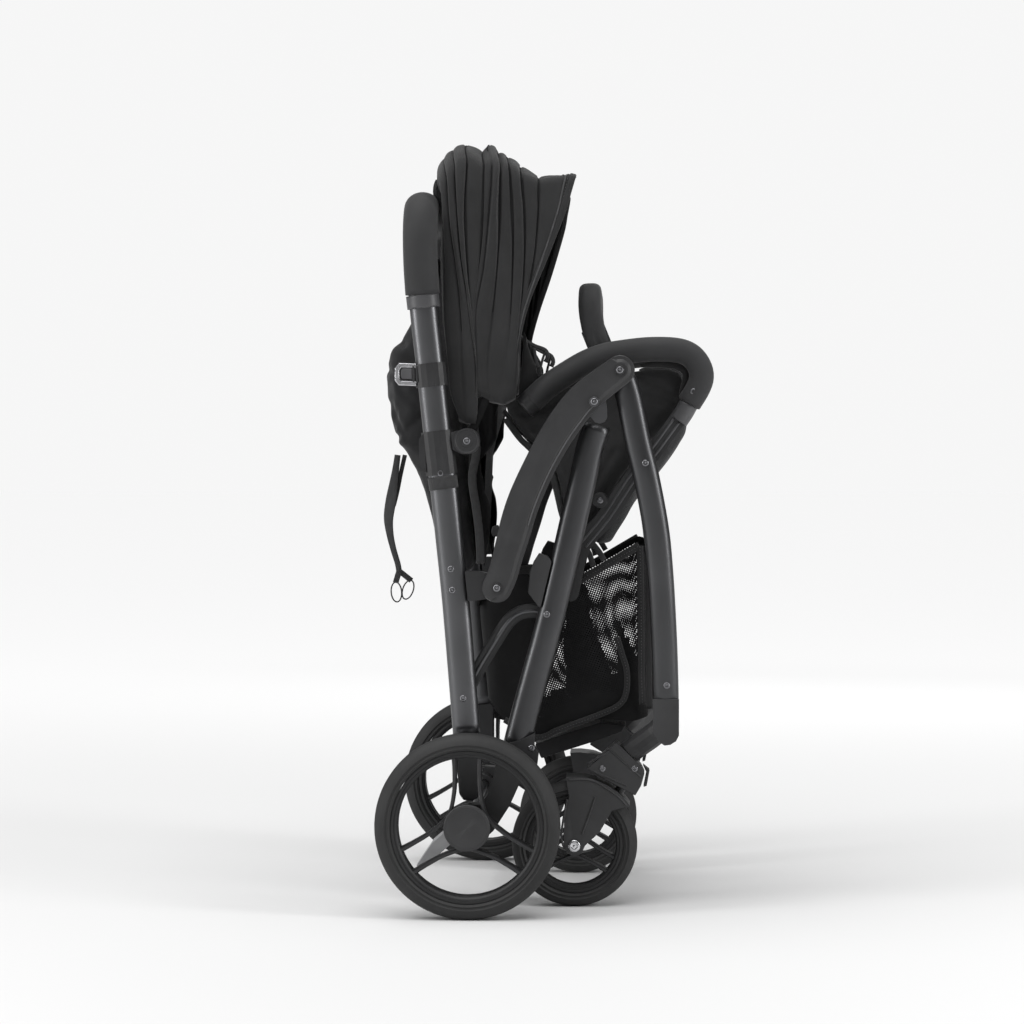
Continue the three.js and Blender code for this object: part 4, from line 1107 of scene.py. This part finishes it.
def build_seat():
    """The seat pan with its two side wings, each a soft cover of its own, and the cloth below them."""
    outline = strip_outline(PAN_LINE, lambda t: 12.0, lambda t: 12.0, 16, 4)
    pan = stuffed("seat_pan_cover", outline, wide_layers(150, 2), PADDED_CLOTH, "seat_frame", 0.0055, 0.005)
    finish_cover(pan, crumples=((0.003, 24, 31),))
    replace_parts(pan, "seat_cover")
    drop = sheet_from_rows("seat_rear_sheet", sagging_rows(SEAT_DROP, 40, 150, 0.003, 30), 0.0025, [CLOTH],
                           at(200, 0, 700), (0.003, 24, 34))
    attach(drop, "seat_frame")
    for name, side in SIDES.items():
        layers = [(side * y, e) for y, e in ((151.5, 4), (153, 1), (158, 0), (162.5, 1.5), (163.6, 5))]
        wing = stuffed(f"seat_wing_{name}", WING, layers, CLOTH, "seat_frame", 0.0048, 0.006)
        finish_cover(wing, ((WING_FOLDS, 0.007, 0.0035),),
                     ((0.004, 22, 33 + side, (0.8, 1, 1)), (0.0012, 60, 35)))
        sweep(f"seat_roll_{name}", beside(WING_ROLL, side=side), (0.005, 0.0055, 20), CLOTH, "seat_frame", 40, 0.001,
              scale=lambda t: 0.35 + 0.65 * math.sin(math.pi * t) ** 0.5)


# ---------------------------------------------------------------- basket
BASKET_LOW = [(-28, 290), (-6, 263), (39, 235), (74, 247), (130, 263), (172, 260), (197, 266)]
BASKET_HIGH = [(-41, 420), (-40, 448), (-8, 459), (24, 465), (46, 454), (63, 436), (81, 447), (133, 477), (183, 507),
               (196, 500)]
BASKET_HALF = 163
BASKET_CORNER = 26
BASKET_LEVELS = 30
# Trims on each side of the basket: name, line, half width, half thickness and the way that the width runs.
BASKET_TRIMS = (
    ("rim", [(64, 436), (81, 446), (133, 476), (184, 506)], 0.0055, 0.0016, (0, 0, 1)),
    ("front", [(185, 505), (186.5, 450), (187, 390), (187.5, 330), (189, 284)], 0.0048, 0.0018, (1, 0, 0)),
    ("edge", [(196, 498), (197, 450), (197.5, 390), (198, 330), (198.5, 278)], 0.0042, 0.0018, (1, 0, 0)),
    ("low", [(-4, 262), (39, 237), (74, 249), (130, 270), (156, 283), (166, 300), (167, 330), (161, 352), (153, 378)],
     0.0044, 0.0015, (1, 0, 0)),
)
INNER_FOLD = [(77, 441), (94, 447), (112, 430), (122, 378), (140, 322), (150, 299), (129, 288), (96, 280), (77, 292),
              (74, 360)]


def basket_blend(obj):
    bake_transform(obj)
    return obj


def basket_ring(s, side_line):
    """The basket's plan at a share s of its height, with soft folds down its sides."""
    belly = math.sin(math.pi * s)
    x0, x1 = side_line[0].x, side_line[-1].x

    def height(x):
        for a, b in zip(side_line, side_line[1:]):
            if a.x <= x <= b.x:
                return a.z + (b.z - a.z) * (x - a.x) / max(b.x - a.x, 1e-6)
        return side_line[-1].z if x > x1 else side_line[0].z

    reach = BASKET_HALF - 3 - 5 * belly
    front, back, wide = x1 - BASKET_CORNER, x0 + BASKET_CORNER, reach - BASKET_CORNER
    plan = []
    for cx, cy, start in ((front, wide, 0), (back, wide, 90), (back, -wide, 180), (front, -wide, 270)):
        for k in range(9):
            a = math.radians(start + 90 * k / 8)
            plan.append((cx + BASKET_CORNER * math.cos(a), cy + BASKET_CORNER * math.sin(a)))
    ring = []
    for a, b in zip(plan, plan[1:] + plan[:1]):
        pieces = max(1, int(math.dist(a, b) / 9))
        for k in range(pieces):
            x, y = (p + (q - p) * k / pieces for p, q in zip(a, b))
            fold = 3.5 * belly * math.sin(x / 13 + y / 40 + 2.2 * s)
            away = math.copysign(1, y) if abs(abs(y) - reach) < 2 else 0
            dip = 5 * (1 - s) * (1 - (2 * (x - x0) / (x1 - x0) - 1) ** 2)
            ring.append(at(x, y + away * fold * 0.8, height(x) - dip * (1 - abs(y) / BASKET_HALF)))
    return ring


def resample_ring(ring, count):
    lengths = [0.0]
    loop = [*ring, ring[0]]
    for a, b in zip(loop, loop[1:]):
        lengths.append(lengths[-1] + (b - a).length)
    result, k = [], 0
    for i in range(count):
        goal = lengths[-1] * i / count
        while lengths[k + 1] < goal:
            k += 1
        step = lengths[k + 1] - lengths[k] or 1
        result.append(loop[k].lerp(loop[k + 1], (goal - lengths[k]) / step))
    return result


def solid_patch(walls):
    """Closes with cloth all but the net in the middle of each side: its corners, edges, front and back."""
    for polygon in walls.data.polygons:
        c = polygon.center
        x, z = c.x * 1000 - DRAWING_SHIFT, c.z * 1000
        on_side = abs(c.y) > 0.14
        corner = x > 156 and z < 384 - (x - 153) * 2.0
        near_rim = z > 427 + (x - 64) * 0.585
        low = z < min(302, 264 + (x - 40) * 0.5)
        if not on_side or corner or low or near_rim or x > 186 or x < 34 or (x < 60 and z > 410):
            # Index 1 is the near-black lining: partly solid cloth, partly painted shade in the darker parts of the
            # basket.
            polygon.material_index = 1


def build_basket():
    low, high = (smooth_line([Vector((x, 0, z)) for x, z in line], 41) for line in (BASKET_LOW, BASKET_HIGH))
    shares = [level / BASKET_LEVELS for level in range(BASKET_LEVELS + 1)]
    rows = [basket_ring(s, [a.lerp(b, s) for a, b in zip(low, high)]) for s in shares]
    most = max(len(ring) for ring in rows)
    if any(len(ring) < most for ring in rows):
        rows = [resample_ring(ring, most) for ring in rows]
    walls = from_faces("basket_walls", *rings_to_faces(rows, caps=False), [NET, LINING_WITH_PAINTED_SHADE])
    solid_patch(walls)
    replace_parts(basket_blend(walls), "basket")
    trims = []
    for name, side in SIDES.items():
        for label, line, width, tall, across in BASKET_TRIMS:
            points = beside(line, 164, side)
            trims.append(sweep(f"basket_{label}_{name}", points, flat_section(width, tall), CLOTH, None, 44,
                               side=across))
            if label != "edge":
                row = [p + Vector((0, side * 0.0019, 0)) for p in points]
                trims.append(stitches(f"basket_{label}_stitches_{name}", row))
    for label, (x, z) in (("front_rim", BASKET_HIGH[-1]), ("back_rim", (63, 437))):
        points = [at(x, y, z - 3 * (1 - (y / 160) ** 2)) for y in range(-150, 151, 25)]
        trims.append(sweep(f"basket_{label}", points, flat_section(0.0055, 0.0016), BINDING, side=(0, 0, 1)))
    lid = sheet_from_rows("basket_pocket_lid", sagging_rows(BASKET_HIGH[:6], 26, 158, 0.004, 95), 0.0014, [LINING_WITH_PAINTED_SHADE],
                          at(0, 0, 300), (0.003, 24, 44))
    for piece in [*trims, lid]:
        basket_blend(piece)
    for name, side in SIDES.items():
        layers = [(side * y, e) for y, e in ((106, 3), (107.5, 0), (110.5, 0), (112, 3))]
        inner = stuffed(f"basket_inner_fold_{name}", INNER_FOLD, layers, LINING_WITH_PAINTED_SHADE, None, 0.005, 0.006, 3.0)
        finish_cover(inner, crumples=((0.005, 20, 41, (1, 1, 0.6)),))
        basket_blend(inner)


# ---------------------------------------------------------------- pull strap
PULL_LINE = [(-157, 632), (-160, 610), (-163, 590), (-167, 565), (-170, 542), (-168, 520), (-163, 498), (-157, 478),
             (-155, 466)]
PULL_Y = -120
PULL_POINTS = 40


def build_pull_strap():
    """The strap that hangs from the backrest, its second strand, and the two loops at its end."""
    def strand(name, points, half_width, half_thickness, count, side=(1, 0, 0)):
        return sweep(name, points, flat_section(half_width, half_thickness), WEBBING, "backrest", count, side=side)

    route = smooth_line(beside(PULL_LINE, PULL_Y), PULL_POINTS)
    section = flat_section(0.0082, 0.0011, 4)
    rings = []
    for i, (p, s, u, ahead) in enumerate(frames_along(route, (1, 0, 0))):
        t = i / (PULL_POINTS - 1)
        wide = 0.5 + 0.5 * math.exp(-((t - 0.42) / 0.24) ** 2)
        a, b = turned(s, u, 0.35 * math.sin(3.0 * t))
        rings.append([p + a * q * wide + b * r for q, r in section])
    strap = from_faces("pull_strap_webbing", *rings_to_faces(rings), WEBBING, "backrest")
    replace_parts(strap, "pull_strap")
    for k, (x, z, lean, y) in enumerate(((-159, 438, -0.08, PULL_Y), (-143, 441, 0.34, PULL_Y + 6))):
        ring = []
        for i in range(33):
            a = 2 * math.pi * i / 32
            px, pz = 7.4 * math.sin(a), 14 * math.cos(a)
            ring.append(at(x + px * math.cos(lean) + pz * math.sin(lean), y,
                           z + pz * math.cos(lean) - px * math.sin(lean)))
        strand(f"pull_loop_{k}", ring, 0.0022, 0.0009, 60, (0, 1, 0))
        neck = [at(-155, PULL_Y, 468), at(x + 14 * math.sin(lean), y, z + 13)]
        strand(f"pull_neck_{k}", neck, 0.0042, 0.001, 8)
    second = beside([(-147, 632), (-153, 605), (-158, 580), (-163, 560)], PULL_Y + 4)
    strand("pull_strand", second, 0.0032, 0.001, 20)


build_studio()
build_pull_strap()
for side_name, side_sign in SIDES.items():
    build_wheel("rear", side_name, side_sign)
    build_wheel("front", side_name, side_sign)
    build_pairs(side_name, side_sign)
    build_link(side_name, side_sign)
build_crossing_bars()
polish_cad_nodes()
build_hood()
build_backrest()
build_sling()
build_seat()
build_basket()
